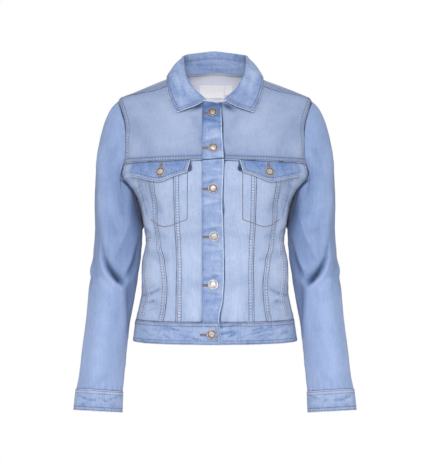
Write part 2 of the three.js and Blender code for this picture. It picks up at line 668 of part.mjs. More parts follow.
// A keyhole buttonhole, cut straight through. It runs from the button along the given way.
function buttonhole(frame, way) {
  const slit = 0.5;
  const eye = radians(12);
  const shape = new THREE.Shape();
  shape.absarc(0, 0, EYELET_RADIUS, eye, 2 * Math.PI - eye, false);
  shape.lineTo(BUTTONHOLE_LENGTH, -slit);
  shape.lineTo(BUTTONHOLE_LENGTH, slit);
  const cut = new THREE.ExtrudeGeometry(shape, { depth: 16, bevelEnabled: false, curveSegments: 8 });
  cut.translate(0, 0, -8);
  const out = new THREE.Vector3().setFromMatrixColumn(frame, 1);
  const along = way.clone().addScaledVector(out, -way.dot(out)).normalize();
  const third = new THREE.Vector3().crossVectors(out, along);
  const middle = new THREE.Vector3().setFromMatrixPosition(frame);
  const turn = new THREE.Matrix4().makeBasis(along, third, out).setPosition(middle);
  return cut.applyMatrix4(turn);
}

function cutButtonholes(geometry, holes) {
  return geometryOf(holes.reduce((solid, hole) => solid.subtract(solidOf(hole)), solidOf(geometry)));
}

// A metal tack button. Its shank goes through the piece that it fastens, and its cap lies over it.
function tackButton(frame, through) {
  const under = through + LAY_GAP;
  const rim = under + 1;
  const face = under + 3.2;
  const profile = [
    [0, 0],
    [SHANK_RADIUS, 0],
    [SHANK_RADIUS, under],
    [BUTTON_RADIUS - 1, under],
    [BUTTON_RADIUS, rim],
    [BUTTON_RADIUS - 0.4, face - 0.8],
    [BUTTON_RADIUS - 1.8, face],
    [BUTTON_RADIUS - 3.2, face - 0.7],
    [0, face],
  ].map(([r, h]) => new THREE.Vector2(r, h));
  return new THREE.LatheGeometry(profile, 16).applyMatrix4(frame);
}

// The placket lies over both fronts, and its top corner is rounded off.
const PLACKET_TOP_ROWS = [
  { x: PLACKET_SEAM_X, z: -58.5 },
  { x: -12, z: -60 },
  { x: -1, z: -61.5 },
  { x: 7, z: -65 },
  { x: 11.5, z: -72 },
];
const placketRows = [
  -466, -452, -434, -408, -378, -346, -314, -284, -256, -228, -202, -176, -150, -126, -104, -86, -75,
];
const placketTopZ = follow(PLACKET_TOP_ROWS, "x", "z");
const placketGrid = [...placketRows, -66].map((z, j, rows) =>
  range(4).map((share) => {
    const x = mix(PLACKET_SEAM_X, placketEdgeX(z), share);
    return bodyPoint(x, j === rows.length - 1 ? placketTopZ(x) : z, -1);
  }),
);
const placketRise = LAY_GAP + FOLDED_CLOTH;
const leftwards = new THREE.Vector3(-1, 0, 0);
const placketButtons = FRONT_BUTTONS.map((z) => buttonFrame(FRONT_BUTTON_X, z, LAY_GAP));
add(
  "placket",
  cutButtonholes(
    bodyWall(drawBack(placketGrid, { bottom: true }), FOLDED_CLOTH, placketRise),
    placketButtons.map((frame) => buttonhole(frame, leftwards)),
  ),
  "bandDenim",
);
placketButtons.forEach((frame, k) => add(`front_button_${k + 1}`, tackButton(frame, FOLDED_CLOTH), "metal"));

const waistButton = buttonFrame(WAIST_BUTTON.x, WAIST_BUTTON.z, BAND_RISE + LAY_GAP);
const rightBand = jacket.getObjectByName("waistband_right");
rightBand.geometry = cutButtonholes(rightBand.geometry, [buttonhole(waistButton, leftwards)]);
add("front_button_6", tackButton(waistButton, BAND_CLOTH), "metal");

// Pocket flaps lie over the panels below the yoke seam and lift towards their lower edge.
const flapTopZ = follow(FLAP_OUTLINE, "x", "topZ");
const flapBottomZ = follow(FLAP_OUTLINE, "x", "bottomZ");
const FLAP_LIFT = 2.4;
const flapShare = (p) => (flapTopZ(p.x) - p.z) / (flapTopZ(p.x) - flapBottomZ(p.x));
const flapLift = (p) => LAY_GAP + FLAP_LIFT * THREE.MathUtils.clamp(flapShare(p), 0, 1) ** 3;
const flapGrid = range(4).map((down) =>
  range(10).map((share) => {
    const x = mix(FLAP_OUTLINE[0].x, FLAP_OUTLINE.at(-1).x, share);
    return bodyPoint(x, mix(flapTopZ(x), flapBottomZ(x), down), -1);
  }),
);
const pocketButton = buttonFrame(POCKET_BUTTON.x, POCKET_BUTTON.z, LAY_GAP);
const upwards = new THREE.Vector3(0, 0, 1);
const flap = cutButtonholes(
  bodyWall(flapGrid, FOLDED_CLOTH, (p) => FOLDED_CLOTH + flapLift(p)),
  [buttonhole(pocketButton, upwards)],
);
addPair("pocket_flap", flap, "bandDenim");
addPair("pocket_button", tackButton(pocketButton, FOLDED_CLOTH + 1.1), "metal");

// Side pocket welts, a narrow raised strip near each side seam.
const weltGrid = range(8).map((share) => {
  const z = mix(WELT.bottomZ, WELT.topZ, share);
  const angle = radians(mix(WELT.bottomAngle, WELT.topAngle, share));
  const half = WELT.width / 2 / halfWidthAt(z);
  return [-half, 0, half].map((turn) => {
    const x = halfWidthAt(z) * Math.sin(angle + turn * 1.25) ** (2 / squareAt(z));
    return bodyPoint(x, z, -1);
  });
});
addPair("side_welt", bodyWall(weltGrid, WELT.proud, WELT.proud + WELT.gap), "denim");

// Sleeves
const armColumns = ["x", "halfWidth", "y", "halfDepth", "tilt", "pitch"];
const armAt = Object.fromEntries(armColumns.map((name) => [name, follow(ARM_SECTIONS, "z", name)]));

// A point of the sleeve below the arm pit, and the way out of the arm there.
function armPoint(angle, z) {
  const turn = new THREE.Euler(radians(-armAt.pitch(z)), radians(armAt.tilt(z)) * -1, 0);
  const c = Math.cos(radians(angle));
  const s = Math.sin(radians(angle));
  const across = new THREE.Vector3(armAt.halfWidth(z) * c, -armAt.halfDepth(z) * s, 0).applyEuler(turn);
  const out = new THREE.Vector3(c / armAt.halfWidth(z), -s / armAt.halfDepth(z), 0);
  out.applyEuler(turn).normalize();
  return { p: new THREE.Vector3(armAt.x(z), armAt.y(z), z).add(across), out };
}

function armFold(angle, z) {
  const round = armAt.halfWidth(z) * radians(1);
  return ARM_FOLDS.reduce((sum, fold) => {
    const turn = THREE.MathUtils.euclideanModulo(angle - fold.fromAngle + 180, 360) - 180;
    const span = (fold.toAngle - fold.fromAngle) * round;
    return sum + foldHeight(turn * round, z, fold, 0, fold.fromZ, span, fold.toZ);
  }, 0);
}

// The way in which the sleeve leaves the armhole turns from outwards at the shoulder to straight
// down under the arm.
function capStart(angle) {
  const top = (1 + Math.cos(radians(angle))) / 2;
  const front = Math.sin(radians(angle));
  return new THREE.Vector3(0.04 + 0.84 * top ** 0.8, -0.16 * front, -0.98 + 0.5 * top ** 3).normalize();
}

function capPoint(angle, share) {
  const start = armholePoint(angle);
  const end = armPoint(angle, ARM_ROWS[0]).p;
  const opening = new THREE.Vector3(0, -Math.cos(radians(90 - angle)), Math.cos(radians(angle)));
  start.addScaledVector(opening, -SEAM_GAP * 1.6);
  const chord = start.distanceTo(end);
  const top = (1 + Math.cos(radians(angle))) / 2;
  const leave = capStart(angle).multiplyScalar(chord * mix(1.1, 0.6, top));
  const arrive = new THREE.Vector3(0, 0, -1).multiplyScalar(chord * mix(1, 1.25, top));
  const t = share;
  return new THREE.Vector3()
    .addScaledVector(start, 2 * t ** 3 - 3 * t ** 2 + 1)
    .addScaledVector(leave, t ** 3 - 2 * t ** 2 + t)
    .addScaledVector(end, -2 * t ** 3 + 3 * t ** 2)
    .addScaledVector(arrive, t ** 3 - t ** 2);
}

// The grid's own way out, across its rows and columns, on the side that a middle point lies behind.
function gridNormals(grid, middleOf) {
  return grid.map((row, j) =>
    row.map((p, i) => {
      const up = grid[Math.min(j + 1, grid.length - 1)][i].clone().sub(grid[Math.max(j - 1, 0)][i]);
      const along = row[Math.min(i + 1, row.length - 1)].clone().sub(row[Math.max(i - 1, 0)]);
      const out = up.cross(along).normalize();
      return out.dot(p.clone().sub(middleOf(j))) < 0 ? out.negate() : out;
    }),
  );
}

function sleeveGrid(angles) {
  const cap = range(CAP_ROWS)
    .slice(0, -1)
    .map((share) => angles.map((angle) => capPoint(angle, share)));
  const arm = ARM_ROWS.map((z) =>
    angles.map((angle) => {
      const { p, out } = armPoint(angle, z);
      return p.addScaledVector(out, armFold(angle, z));
    }),
  );
  return [...cap, ...arm];
}

// Each wall takes its normals from the whole round of points, so that both parts meet at the seams.
const WHOLE_ROUND = armAngles(-ARM_STEP, 360 + ARM_STEP);
const roundGrid = sleeveGrid(WHOLE_ROUND);
const rowMiddle = roundGrid.map((row) =>
  row.slice(1, -2).reduce((sum, p) => sum.add(p), new THREE.Vector3()).divideScalar(row.length - 3),
);
const roundNormals = gridNormals(roundGrid, (j) => rowMiddle[j]);
function sleevePart(fromAngle, toAngle) {
  const columns = armAngles(fromAngle, toAngle).map((angle) => 1 + ((angle + 360) % 360) / ARM_STEP);
  const pick = (rows) => rows.map((row) => columns.map((column) => row[column]));
  const outer = drawBack(pick(roundGrid), { left: true, right: true, top: true });
  const normals = pick(roundNormals);
  const inner = outer.map((row, j) => row.map((p, i) => p.clone().addScaledVector(normals[j][i], -CLOTH)));
  return wallGeometry(outer, inner);
}
addPair("sleeve_upper", sleevePart(BACK_ARM_SEAM_ANGLE - 360, 180), "denim");
addPair("sleeve_under", sleevePart(180, BACK_ARM_SEAM_ANGLE), "denim");

// Cuffs
const CUFF_TOP_Z = ARM_ROWS.at(-1);
const cuffAngles = armAngles(0, 360 - ARM_STEP);
const CUFF_PROUD = 1.2;
const cuffRow = (z, rise) =>
  cuffAngles.map((angle) => {
    const { p, out } = armPoint(angle, z);
    return p.addScaledVector(out, rise);
  });
const cuffHeights = [CUFF_TOP_Z - SEAM_GAP * 1.2, CUFF_TOP_Z - CUFF_DEPTH / 2, CUFF_TOP_Z - CUFF_DEPTH];
addPair(
  "cuff",
  wallGeometry(
    cuffHeights.map((z) => cuffRow(z, CUFF_PROUD)),
    cuffHeights.map((z) => cuffRow(z, CUFF_PROUD - BAND_CLOTH)),
    true,
  ),
  "bandDenim",
);

// The collar: a stand that rises from the neck seam, and the fall that turns over it.
const collarColumns = ["height", "lean", "edgeX", "edgeY", "edgeZ"];
const collarAt = Object.fromEntries(
  collarColumns.map((name) => [name, follow(COLLAR_SECTIONS, "angle", name)]),
);
const STAND_INSET = FOLDED_CLOTH + 0.4;
const FOOT_GAP = 0.5; // between the neckline and the foot of the stand

function collarProfile(angle) {
  const neck = neckPoint(angle);
  const near = neckPoint(angle + 0.5).sub(neckPoint(angle - 0.5));
  const out = new THREE.Vector3(-near.y, near.x, 0).normalize();
  if (out.dot(new THREE.Vector3(neck.x, neck.y, 0)) < 0) out.negate();
  const foot = neck.clone().addScaledVector(out, -STAND_INSET).add(new THREE.Vector3(0, 0, FOOT_GAP));
  const lean = collarAt.lean(angle);
  const fold = neck.clone().addScaledVector(out, -lean).add(new THREE.Vector3(0, 0, collarAt.height(angle)));
  const edge = new THREE.Vector3(collarAt.edgeX(angle), collarAt.edgeY(angle), collarAt.edgeZ(angle));
  const stand = range(3).map((share) => foot.clone().lerp(fold, share * STAND_SHARE));
  const roll = [0.15, 0.5, 0.85].map((share) => {
    const turn = Math.PI * share;
    const across = ((1 - Math.cos(turn)) * COLLAR_ROLL) / 2;
    return fold
      .clone()
      .addScaledVector(out, across)
      .add(new THREE.Vector3(0, 0, (Math.sin(turn) * COLLAR_ROLL) / 2));
  });
  const outerFold = fold.clone().addScaledVector(out, COLLAR_ROLL);
  const swell = out.clone().add(new THREE.Vector3(0, 0, 0.5)).normalize();
  const fall = range(5).map((share) =>
    outerFold.clone().lerp(edge, share).addScaledVector(swell, COLLAR_SWELL * Math.sin(Math.PI * share)),
  );
  const underFold = [STAND_SHARE, 0.95].map((share) => foot.clone().lerp(fold, share));
  return { stand, turnOver: [...underFold, ...roll, ...fall] };
}

const COLLAR_STEPS = 14;
const collarAngles = range(COLLAR_STEPS).map((share) => mix(NECK.endAngle, 180 - 1e-3, share));
const collarHalf = collarAngles.map(collarProfile);

// Walls of the collar have their faces turned away from the hollow between stand and fall.
function collarWall(part) {
  const half = collarHalf.map((profile) => profile[part]);
  const whole = [...half, ...half.slice(0, -1).reverse().map((column) => column.map(mirrorPoint))];
  const rows = half[0].map((_, j) => whole.map((column) => column[j]));
  rows.forEach((row) => (row[COLLAR_STEPS].x = 0));
  const drawn = drawBack(rows, part === "stand" ? { top: true } : { bottom: true }, 2.5 * SEAM_GAP);
  const inner = drawn.map((row, j) =>
    row.map((p, i) => {
      const up = rows[Math.min(j + 1, rows.length - 1)][i].clone().sub(rows[Math.max(j - 1, 0)][i]);
      const along = rows[j][Math.min(i + 1, row.length - 1)].clone().sub(rows[j][Math.max(i - 1, 0)]);
      return p.clone().addScaledVector(up.cross(along).normalize(), FOLDED_CLOTH * -1);
    }),
  );
  return wallGeometry(drawn, inner);
}
add("collar_stand", collarWall("stand"), "denim");
add("collar_fall", collarWall("turnOver"), "denim");

// Plain woven labels, which hang on the inside of the back yoke
function addLabel({ name, fromX, toX, topZ, height }) {
  const grid = range(1).map((down) =>
    range(4).map((share) => bodyPoint(mix(fromX, toX, share), topZ - height * down, 1)),
  );
  add(name, bodyWall(grid, LABEL_CLOTH, -CLOTH - LAY_GAP), "label");
}
LABELS.forEach(addLabel);

export default jacket;
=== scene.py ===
"""A light blue denim jacket, buttoned up and filled out as it hangs when worn.

Sizes are millimetres until a mesh is made. +Z is up, the front faces -Y and +X is the wearer's left.
"""

import math

import bpy
import numpy as np
from mathutils import Matrix, Vector
from mathutils.bvhtree import BVHTree


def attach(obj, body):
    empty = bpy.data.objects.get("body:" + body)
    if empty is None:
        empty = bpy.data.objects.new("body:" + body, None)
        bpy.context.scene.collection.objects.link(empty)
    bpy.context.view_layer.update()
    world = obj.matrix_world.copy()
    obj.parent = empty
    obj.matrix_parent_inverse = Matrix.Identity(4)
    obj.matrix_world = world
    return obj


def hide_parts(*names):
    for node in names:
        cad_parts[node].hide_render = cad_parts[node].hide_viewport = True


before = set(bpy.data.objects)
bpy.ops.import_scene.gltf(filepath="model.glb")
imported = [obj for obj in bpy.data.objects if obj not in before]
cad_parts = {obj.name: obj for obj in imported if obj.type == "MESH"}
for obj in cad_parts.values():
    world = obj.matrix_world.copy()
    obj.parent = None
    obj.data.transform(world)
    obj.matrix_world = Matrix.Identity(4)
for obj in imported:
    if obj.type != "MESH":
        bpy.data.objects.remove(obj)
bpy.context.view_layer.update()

MM = 0.001
CLOTH = 1.1
FOLDED_CLOTH = 2.0  # placket, flaps and collar
BAND_CLOTH = 2.4  # waistband and cuffs
WELT_CLOTH = 1.2
LABEL_CLOTH = 0.5
HEM_Z = -505.5
WAIST_SEAM_Z = -466
ARMPIT_Z = -239
YOKE_CENTRE_Z = -167
BACK_YOKE_CENTRE_Z = -128
PLACKET_SEAM_X = -23
FRONT_EDGES = (("left", -17.5), ("right", 20.0))  # of each front, under the placket
CUFF_TOP_Z = -598
CUFF_DEPTH = 37
BUTTON_RADIUS = 9.2

# Horizontal sections of the body: height, half width, depth of front and back, squareness of the oval
BODY_SECTIONS = (
    (20, 26, 30, 44, 2),
    (8, 51, 37, 56, 2),
    (0, 70, 40, 62, 2),
    (-10, 91, 43, 67, 2),
    (-26, 131.5, 48.5, 75, 2),
    (-38, 160, 53, 79, 2),
    (-50, 181.5, 58, 82.5, 2.05),
    (-62, 184.5, 64, 85.5, 2.1),
    (-80, 187, 73.5, 89.5, 2.15),
    (-110, 185.5, 89.5, 94.5, 2.2),
    (-145, 180.5, 104, 98, 2.3),
    (-158, 179.5, 108, 98.5, 2.3),
    (-175, 182, 112.5, 98, 2.28),
    (-190, 183.5, 115.5, 97, 2.26),
    (-199, 179, 117, 96, 2.25),
    (-208, 169, 117.8, 95, 2.25),
    (-216, 160.5, 118, 94, 2.24),
    (-226, 152.5, 117.8, 93, 2.22),
    (-239, 147, 117, 91, 2.2),
    (-255, 141, 115, 88.5, 2.2),
    (-272, 137.5, 112, 85.5, 2.2),
    (-300, 133, 106.5, 80.5, 2.2),
    (-318, 130.5, 104, 79, 2.2),
    (-334, 133, 103, 79.5, 2.2),
    (-356, 137.5, 103, 81.5, 2.22),
    (-380, 138.5, 104.5, 85, 2.25),
    (-412, 138.5, 107, 89.5, 2.28),
    (-437, 142.5, 109.5, 93.5, 2.3),
    (-466, 149, 112, 97.5, 2.3),
    (-485, 152, 113, 99.5, 2.3),
    (-504, 154.5, 113.5, 101, 2.3),
)
# Upright seams: height and distance from the centre line, for the two of each front and the one behind
INNER_SEAM = (
    (-466, 69.5), (-437, 69.5), (-400, 69), (-368, 68.5), (-330, 69.5), (-290, 71.5), (-240, 73), (-168, 74),
)
OUTER_SEAM = (
    (-466, 97.5), (-437, 92.5), (-400, 90), (-368, 93), (-330, 101), (-290, 107.5), (-240, 112), (-168, 117),
)
BACK_SEAM = ((-466, 50), (-380, 54), (-300, 63), (-220, 78), (-122, 98))
# The placket's free edge, its top end, and where it gapes, which widens the painted shadow beside its free
# edge: height, and x or width and depth
PLACKET_EDGE = (
    (-466, 7.5), (-452, 8), (-425, 13.5), (-380, 16), (-330, 15.5), (-290, 14.5),
    (-250, 13), (-215, 14), (-170, 15.5), (-140, 14), (-100, 12), (-72, 11.5),
)
PLACKET_TOP_Z = -73
PLACKET_TOP = ((-23, -58.5), (-12, -60), (-1, -61.5), (7, -65), (11.5, -72))  # x and height
PLACKET_GAP_SHADOWS = ((-258, 13, 2.4), (-100, 22, 1.3), (-158, 14, 1.6), (-448, 16, 1.5))

# The armhole seen from the side, by angles: 0 at the shoulder, 90 in front, 180 under the arm
ARM_TOP_Z, ARM_MIDDLE_Z, ARM_BOTTOM_Z = -50, -148, ARMPIT_Z
ARM_REACH_FRONT, ARM_REACH_BACK = 50, 47
ARM_UPPER_POWER, ARM_LOWER_POWER = 1.4, 1.2
FRONT_YOKE_ANGLE = 105
BACK_YOKE_ANGLE = 285
SHOULDER_SEAM_ANGLE = 15
BACK_ARM_SEAM_ANGLE = 285
NECK_HALF_WIDTH, NECK_FRONT, NECK_BACK, NECK_SQUARE = 70, 63, 57, 2.2
NECK_SEAM_ANGLE = 62
SHOULDER_SEAM_BOW = 12
SHOULDER_LOW_Z, SHOULDER_HIGH_Z = -82.0, 19.0
YOKE_SEAM_REACH, YOKE_SEAM_CURVE = 165, 0.8
SIDE_ROWS, ARM_ROWS = 76, 30  # of the panels' grids

# Sections of the sleeve: height, middle x, half width, middle y, half depth, tilt and pitch in degrees
ARM_SECTIONS = (
    (-262, 186.3, 43.2, 3, 55, 0, 0),
    (-300, 183.6, 45.4, 5, 52.5, 1, -1),
    (-346, 187, 45.2, 6, 49, 2, 1),
    (-380, 192, 45.5, 4, 46.5, 4, 5),
    (-425, 197, 43.8, -3, 44, 4, 8),
    (-471, 202.5, 42.3, -12, 41, 4, 9),
    (-517, 208, 41.6, -21, 38.5, 4, 9),
    (-562, 212.5, 41.8, -30, 36, 4, 9),
    (-598, 216.5, 42.9, -37, 34, 3.5, 8),
    (-640, 219, 44, -44, 34.5, 3, 7),
)

# Folds: where each starts and ends, its width and its height, which is below 0 for a trough.
# On the sleeve the places are an angle round the arm and a height.
ARM_DEGREE, CUFF_DEGREE = 0.78, 0.72  # millimetres to a degree
ARM_FOLDS = (
    (123, -279, 86, -350, 2.3, 1.3),
    (130, -286, 96, -350, 8, -1.2),
    (16, -346, 52, -384, 9, -2.0),
    (-8, -380, 22, -398, 8, -2.0),
    (-12, -366, 18, -374, 9, 1.6),
    (60, -388, 92, -410, 7, 2.2),
    (30, -150, 60, -250, 16, 1.8),
    (62, -150, 84, -300, 13, -2.4),
    (18, -190, 34, -330, 16, -1.8),
    (40, -230, 62, -322, 8, 1.6),
    (90, -180, 112, -262, 11, -2.8),
    (70, -210, 88, -290, 8, 1.5),
    (86, -430, 70, -560, 14, 0.7),
    (118, -440, 104, -530, 12, -0.8),
    (40, -420, 52, -560, 14, -0.7),
    (20, -566, 64, -584, 7, -1.0),
    (112, -566, 70, -590, 6, -1.0),
    (206, -236, 206, -284, 14, 11.0),
    (262, -330, 300, -372, 15, 2.5),
    (300, -150, 290, -250, 18, -2.4),
    (250, -190, 262, -290, 14, 2.2),
    (270, -430, 280, -560, 14, -2),
    (320, -400, 318, -540, 13, 1.8),
)
# Creases, each a curve of places with a width and a height; steep on one side, with a ridge beside it
ARM_CREASES = (
    (
        (49, -312, 2.2, 0), (53, -328, 2.8, -2.4), (61, -348, 3.4, -5.0), (74, -364, 4.2, -9.5),
        (91, -380, 4.8, -13), (107, -391, 5.2, -13), (119, -396, 5.4, -6.0), (130, -398, 5.4, 0),
    ),
    ((155, -306, 5, 0), (151, -332, 7, -2.4), (145, -356, 8, -5.0), (136, -374, 8, -5.0), (127, -388, 8, 0)),
    (
        (134, -394, 9, 0), (140, -408, 11, -3.6), (150, -432, 12, -4.5), (166, -468, 12, -3.0),
        (172, -500, 12, 0),
    ),
    ((196, -340, 8, 0), (216, -362, 8, -5.0), (240, -380, 8, -6.0), (268, -392, 8, -3.5), (290, -396, 8, 0)),
    ((240, -396, 6, 0), (256, -408, 6, -3.0), (280, -416, 6, -2.4), (300, -416, 6, 0)),
)
CUFF_CREASES = (
    (
        (14, -600, 2, 0), (25, -603, 2.2, -1.6), (62, -610.5, 2.4, -2.2), (83, -611.5, 2.4, -1.6),
        (96, -610, 2, 0),
    ),
    ((98, -609, 2, 0), (108, -611, 2, -1.8), (124, -615, 2, -1.6), (134, -616, 2, 0)),
    ((120, -612, 2, 0), (131, -609.5, 2, -1.6), (160, -606, 2, -1.4), (176, -604, 2, 0)),
    ((20, -622, 2.4, 0), (44, -619, 2.6, -1.1), (70, -622, 2.4, 0)),
    ((190, -606, 2, 0), (215, -611, 2.4, -1.8), (250, -609, 2.4, -1.6), (280, -613, 2, 0)),
    ((270, -604, 2, 0), (300, -609, 2.4, -1.8), (335, -607, 2.4, -1.4), (352, -604, 2, 0)),
)
# On the body they are a distance from the centre line and a height, on the front or the back.
FRONT_FOLDS = (
    (137, -206, 104, -262, 9, -3.0),
    (141, -232, 112, -292, 8, -2.2),
    (134, -246, 118, -300, 7, 2.0),
    (132, -298, 94, -310, 6, -2.0),
    (130, -322, 102, -334, 6, 1.7),
    (122, -342, 86, -350, 7, -1.9),
    (133, -352, 104, -362, 6, 1.4),
    (143, -204, 128, -270, 2.2, -1.7),
    (134, -207, 124, -248, 1.8, -1.4),
    (139, -222, 131, -262, 1.8, 1.2),
    (128, -210, 122, -262, 1.6, 1.0),
    (176, -176, 160, -174, 1.8, -1.6),
    (176, -184, 157, -181, 1.8, -1.7),
    (172, -193, 154, -188, 1.7, -1.6),
    (166, -201, 150, -196, 1.8, -1.6),
    (135, -420, 118, -414, 2.6, -2.6),
    (119, -414, 102, -404, 2.6, -2.8),
    (136, -432, 116, -428, 3, -2.0),
    (118, -428, 106, -432, 3, -1.4),
    (136, -390, 110, -374, 11, 2.2),
    (96, -454, 118, -430, 6, -1.8),
    (60, -458, 64, -424, 7, -1.5),
    (34, -460, 40, -410, 9, 1.4),
    (22, -462, 30, -438, 5, -1.4),
    (24, -306, 62, -312, 8, -1.3),
    (24, -400, 60, -388, 8, -1.4),
    (24, -222, 54, -232, 8, -1.1),
    (26, -350, 66, -344, 9, 1.1),
    (150, -92, 120, -150, 12, -1.9),
    (168, -120, 150, -160, 9, 1.7),
    (96, -66, 60, -110, 15, 1.4),
    (40, -88, 24, -132, 9, -2.0),
    (50, -94, 30, -120, 7, 1.2),
    (158, -64, 120, -58, 9, -1.3),
)
# Lines beside the armhole and over the hip that are only darker or paler, with no height: the painted shade
# and painted light of wrinkles
FRONT_PAINTED_CREASES = (
    (143, -204, 124, -276, 1.5, -0.34),
    (150, -200, 132, -262, 1.4, 0.16),
    (137, -206, 120, -262, 1.3, -0.26),
    (131, -206, 118, -250, 1.3, 0.16),
    (125, -206, 116, -240, 1.2, -0.2),
    (178, -176, 160, -174, 1.5, -0.3),
    (178, -183, 158, -181, 1.5, 0.2),
    (176, -190, 156, -187, 1.5, -0.32),
    (170, -198, 150, -193, 1.5, 0.2),
    (165, -204, 147, -199, 1.5, -0.32),
    (158, -213, 142, -206, 1.4, 0.2),
    (152, -222, 137, -214, 1.4, -0.3),
    (146, -233, 132, -226, 1.4, 0.16),
    (141, -246, 128, -239, 1.4, -0.26),
    (137, -264, 126, -258, 1.4, -0.2),
    (154, -174, 157, -194, 2.6, -0.4),
    (137, -420, 118, -413, 1.5, -0.45),
    (118, -413, 103, -406, 1.5, -0.35),
    (136, -429, 112, -420, 1.4, 0.2),
    (132, -436, 110, -426, 1.3, -0.3),
    (130, -408, 108, -398, 1.6, -0.2),
    (124, -446, 108, -440, 1.3, -0.25),
)
BACK_FOLDS = (
    (125, -196, 80, -250, 14, -2.6),
    (140, -226, 108, -286, 11, 2.0),
    (118, -306, 20, -322, 12, -2.6),
    (124, -338, 40, -346, 12, 2.2),
    (100, -360, 0, -366, 14, -2.0),
    (128, -402, 84, -396, 10, -2.0),
    (0, -240, 10, -300, 20, 1.4),
    (50, -452, 58, -400, 10, -1.4),
    (110, -452, 104, -416, 9, 1.4),
    (60, -50, 90, -110, 18, 1.4),
    (130, -80, 110, -120, 14, -1.4),
)

# The collar by its angle round the neck: fold height, lean inwards, then the free edge's place
COLLAR_SECTIONS = (
    (180, 42, -4, 0, 88, 0),
    (155, 42, -2, 38, 82, -3),
    (130, 39, 3, 66, 59, -5),
    (108, 35, 10, 83, 28, -4),
    (90, 31, 12, 90, 2, -4),
    (75, 23, 10, 91.5, -21, -11),
    (60, 14, 6, 91, -39, -24),
    (45, 10, 4.5, 87.5, -53, -42),
    (30, 8.5, 3.5, 81, -65, -61),
    (17, 7, 2.5, 71, -75.5, -79),
)
COLLAR_FOLDS = (
    (84, -12, 70, -40, 2.4, -0.9),
    (76, -4, 62, -28, 3.0, 0.8),
    (66, -14, 56, -44, 2.2, -0.9),
    (58, -8, 48, -30, 2.4, 0.7),
    (80, -34, 66, -52, 2.0, -0.8),
    (60, 20, 72, 4, 2.4, -0.8),
    (46, 32, 60, 22, 2.2, 0.7),
)
STAND_FOLDS = (
    (-60, 22, 10, 25, 1.8, -0.9),
    (-30, 15, 50, 13, 1.6, -0.8),
    (-50, 8, 0, 10, 1.5, 0.7),
    (5, 19, 60, 21, 1.6, 0.7),
)
COLLAR_END_ANGLE = 17
COLLAR_ROLL = 5.5
COLLAR_SWELL = 3.2
COLLAR_BOW = 5.0  # of the front edge of each leaf, down and towards the middle
STAND_SHARE = 0.7
STAND_INSET = 2.4
STAND_FOOT_GAP = 0.5

FRONT_BUTTON_X = -2
FRONT_BUTTONS = (-80, -147, -222, -309, -397)
BUTTON_SHIFTS = (-2.6, -1.2, -1.4, 0.6, -1.4)
WAIST_BUTTON = (-6, -487)
POCKET_BUTTON = (99.3, -191)
FLAP_OUTLINE = (  # distance from the centre line, height of the top and of the bottom
    (45, -168.6, -190.5),
    (60, -169.4, -194.5),
    (80, -170.4, -201),
    (100, -171.2, -207),
    (120, -171.6, -203.5),
    (138, -172, -199),
    (151, -172.3, -195.5),
)
FLAP_SLANT = 5.5  # of its inner end
FLAP_DRAGS = ((88, -180, 60, -174, 4, -0.9), (108, -178, 138, -176, 4, -0.9))
WELT_TOP_Z, WELT_BOTTOM_Z = -311, -455
WELT_TOP_ANGLE, WELT_BOTTOM_ANGLE = 66.4, 62.5
WELT_WIDTH = 13
# Drags across the placket, as folds whose heights count from each button
PLACKET_DRAGS = (
    (-21, 9, 4, 17, 2.4, -1.7),
    (-20, 18, 12, 22, 2.6, 1.5),
    (-21, -12, 8, -19, 2.4, -1.6),
    (-18, -30, 12, -26, 2.8, -1.4),
    (-6, -38, 14, -42, 2.6, 1.3),
)
POCKET_STITCHES = (  # distance from the centre line and height, round the pocket bag
    (50, -190), (50.4, -240), (50.6, -277), (60, -280.5), (70, -283.5), (80, -288),
    (92, -290.5), (103, -288), (112, -282), (119, -277),
)
BAR_TACKS = ((121.5, -312), (133, -452), (131, -440))
LABELS = (  # name, from x, to x, height and lift
    ("neck_label", -30, 18, 24, 0.0),
    ("size_label", 19, 34, 18, 0.6),
)
LABEL_TOP_Z = -14

# Sewing
ALL_SIDES = "left", "right", "top", "bottom"
SEAM_LIFT = 0.7  # an upper edge over the lower one
OVER_REACH, UNDER_REACH = 1.0, 4.5  # past the seam
SEAM_BAND = 10.0  # as wide as the folded allowance under an upper edge
STITCH_LENGTH, STITCH_PITCH = 2.5, 3.3
STITCH_WIDTH = 0.85
PUCKER_PITCH = 5.1
ROWS = FIRST_ROW, SECOND_ROW = 2.2, 8.8  # of topstitching, from a seam's edge
NO_ROWS = 60.0, 70.0
BAND_ROWS = 2.0, 7.4  # the same on collar, cuffs, flaps and waistband
ARM_ROWS_AT = 4.7, 10.0  # the same round the armhole, behind a dark line
FAR_OFF = 99.0  # a distance at which a seam has no effect
CREASE_WEAR_AND_SHADE = 0.08  # how much a millimetre of fold darkens or pales the colour: painted shade in troughs and painted light on ridges, with the dye's wear there too
BAND_CREASE_WEAR_AND_SHADE = 0.17
PLACKET_CREASE_WEAR_AND_SHADE = 0.11
MIRROR = np.array([-1, 1, 1])
UP = np.array([0.0, 0.0, 1.0])
JUST_BEHIND = 179.999  # the angle of the centre back, where a line round the neck ends
BUTTON_STEPS = (  # inset and then lift of a button's face, from its edge inwards
    (0.5, 0.55), (1.5, 0.1), (0.35, -0.75), (1.3, -0.05), (0.4, 0.5), (1.6, 0.28), (1.7, 0.12),
)
BUTTON_LIFT = 0.9
# Buttons given a paler metal: a painted reflection, standing in for the brighter light they catch.
BUTTONS_PAINTED_BRIGHTER = "front_button_4", "front_button_5"

# The studio, in metres and watts
LIGHTS = (  # name, place, size and power
    ("front light", (-0.1, -3.0, 0.8), 1.2, 80),
    ("left light", (-2.6, -1.3, 0.5), 1.5, 18),
    ("right light", (2.6, -1.3, 0.5), 1.5, 18),
    ("back light", (0.4, 2.9, 1.1), 1.6, 55),
)
EYE = 0, -2.6, -0.3
LENS = 106.17


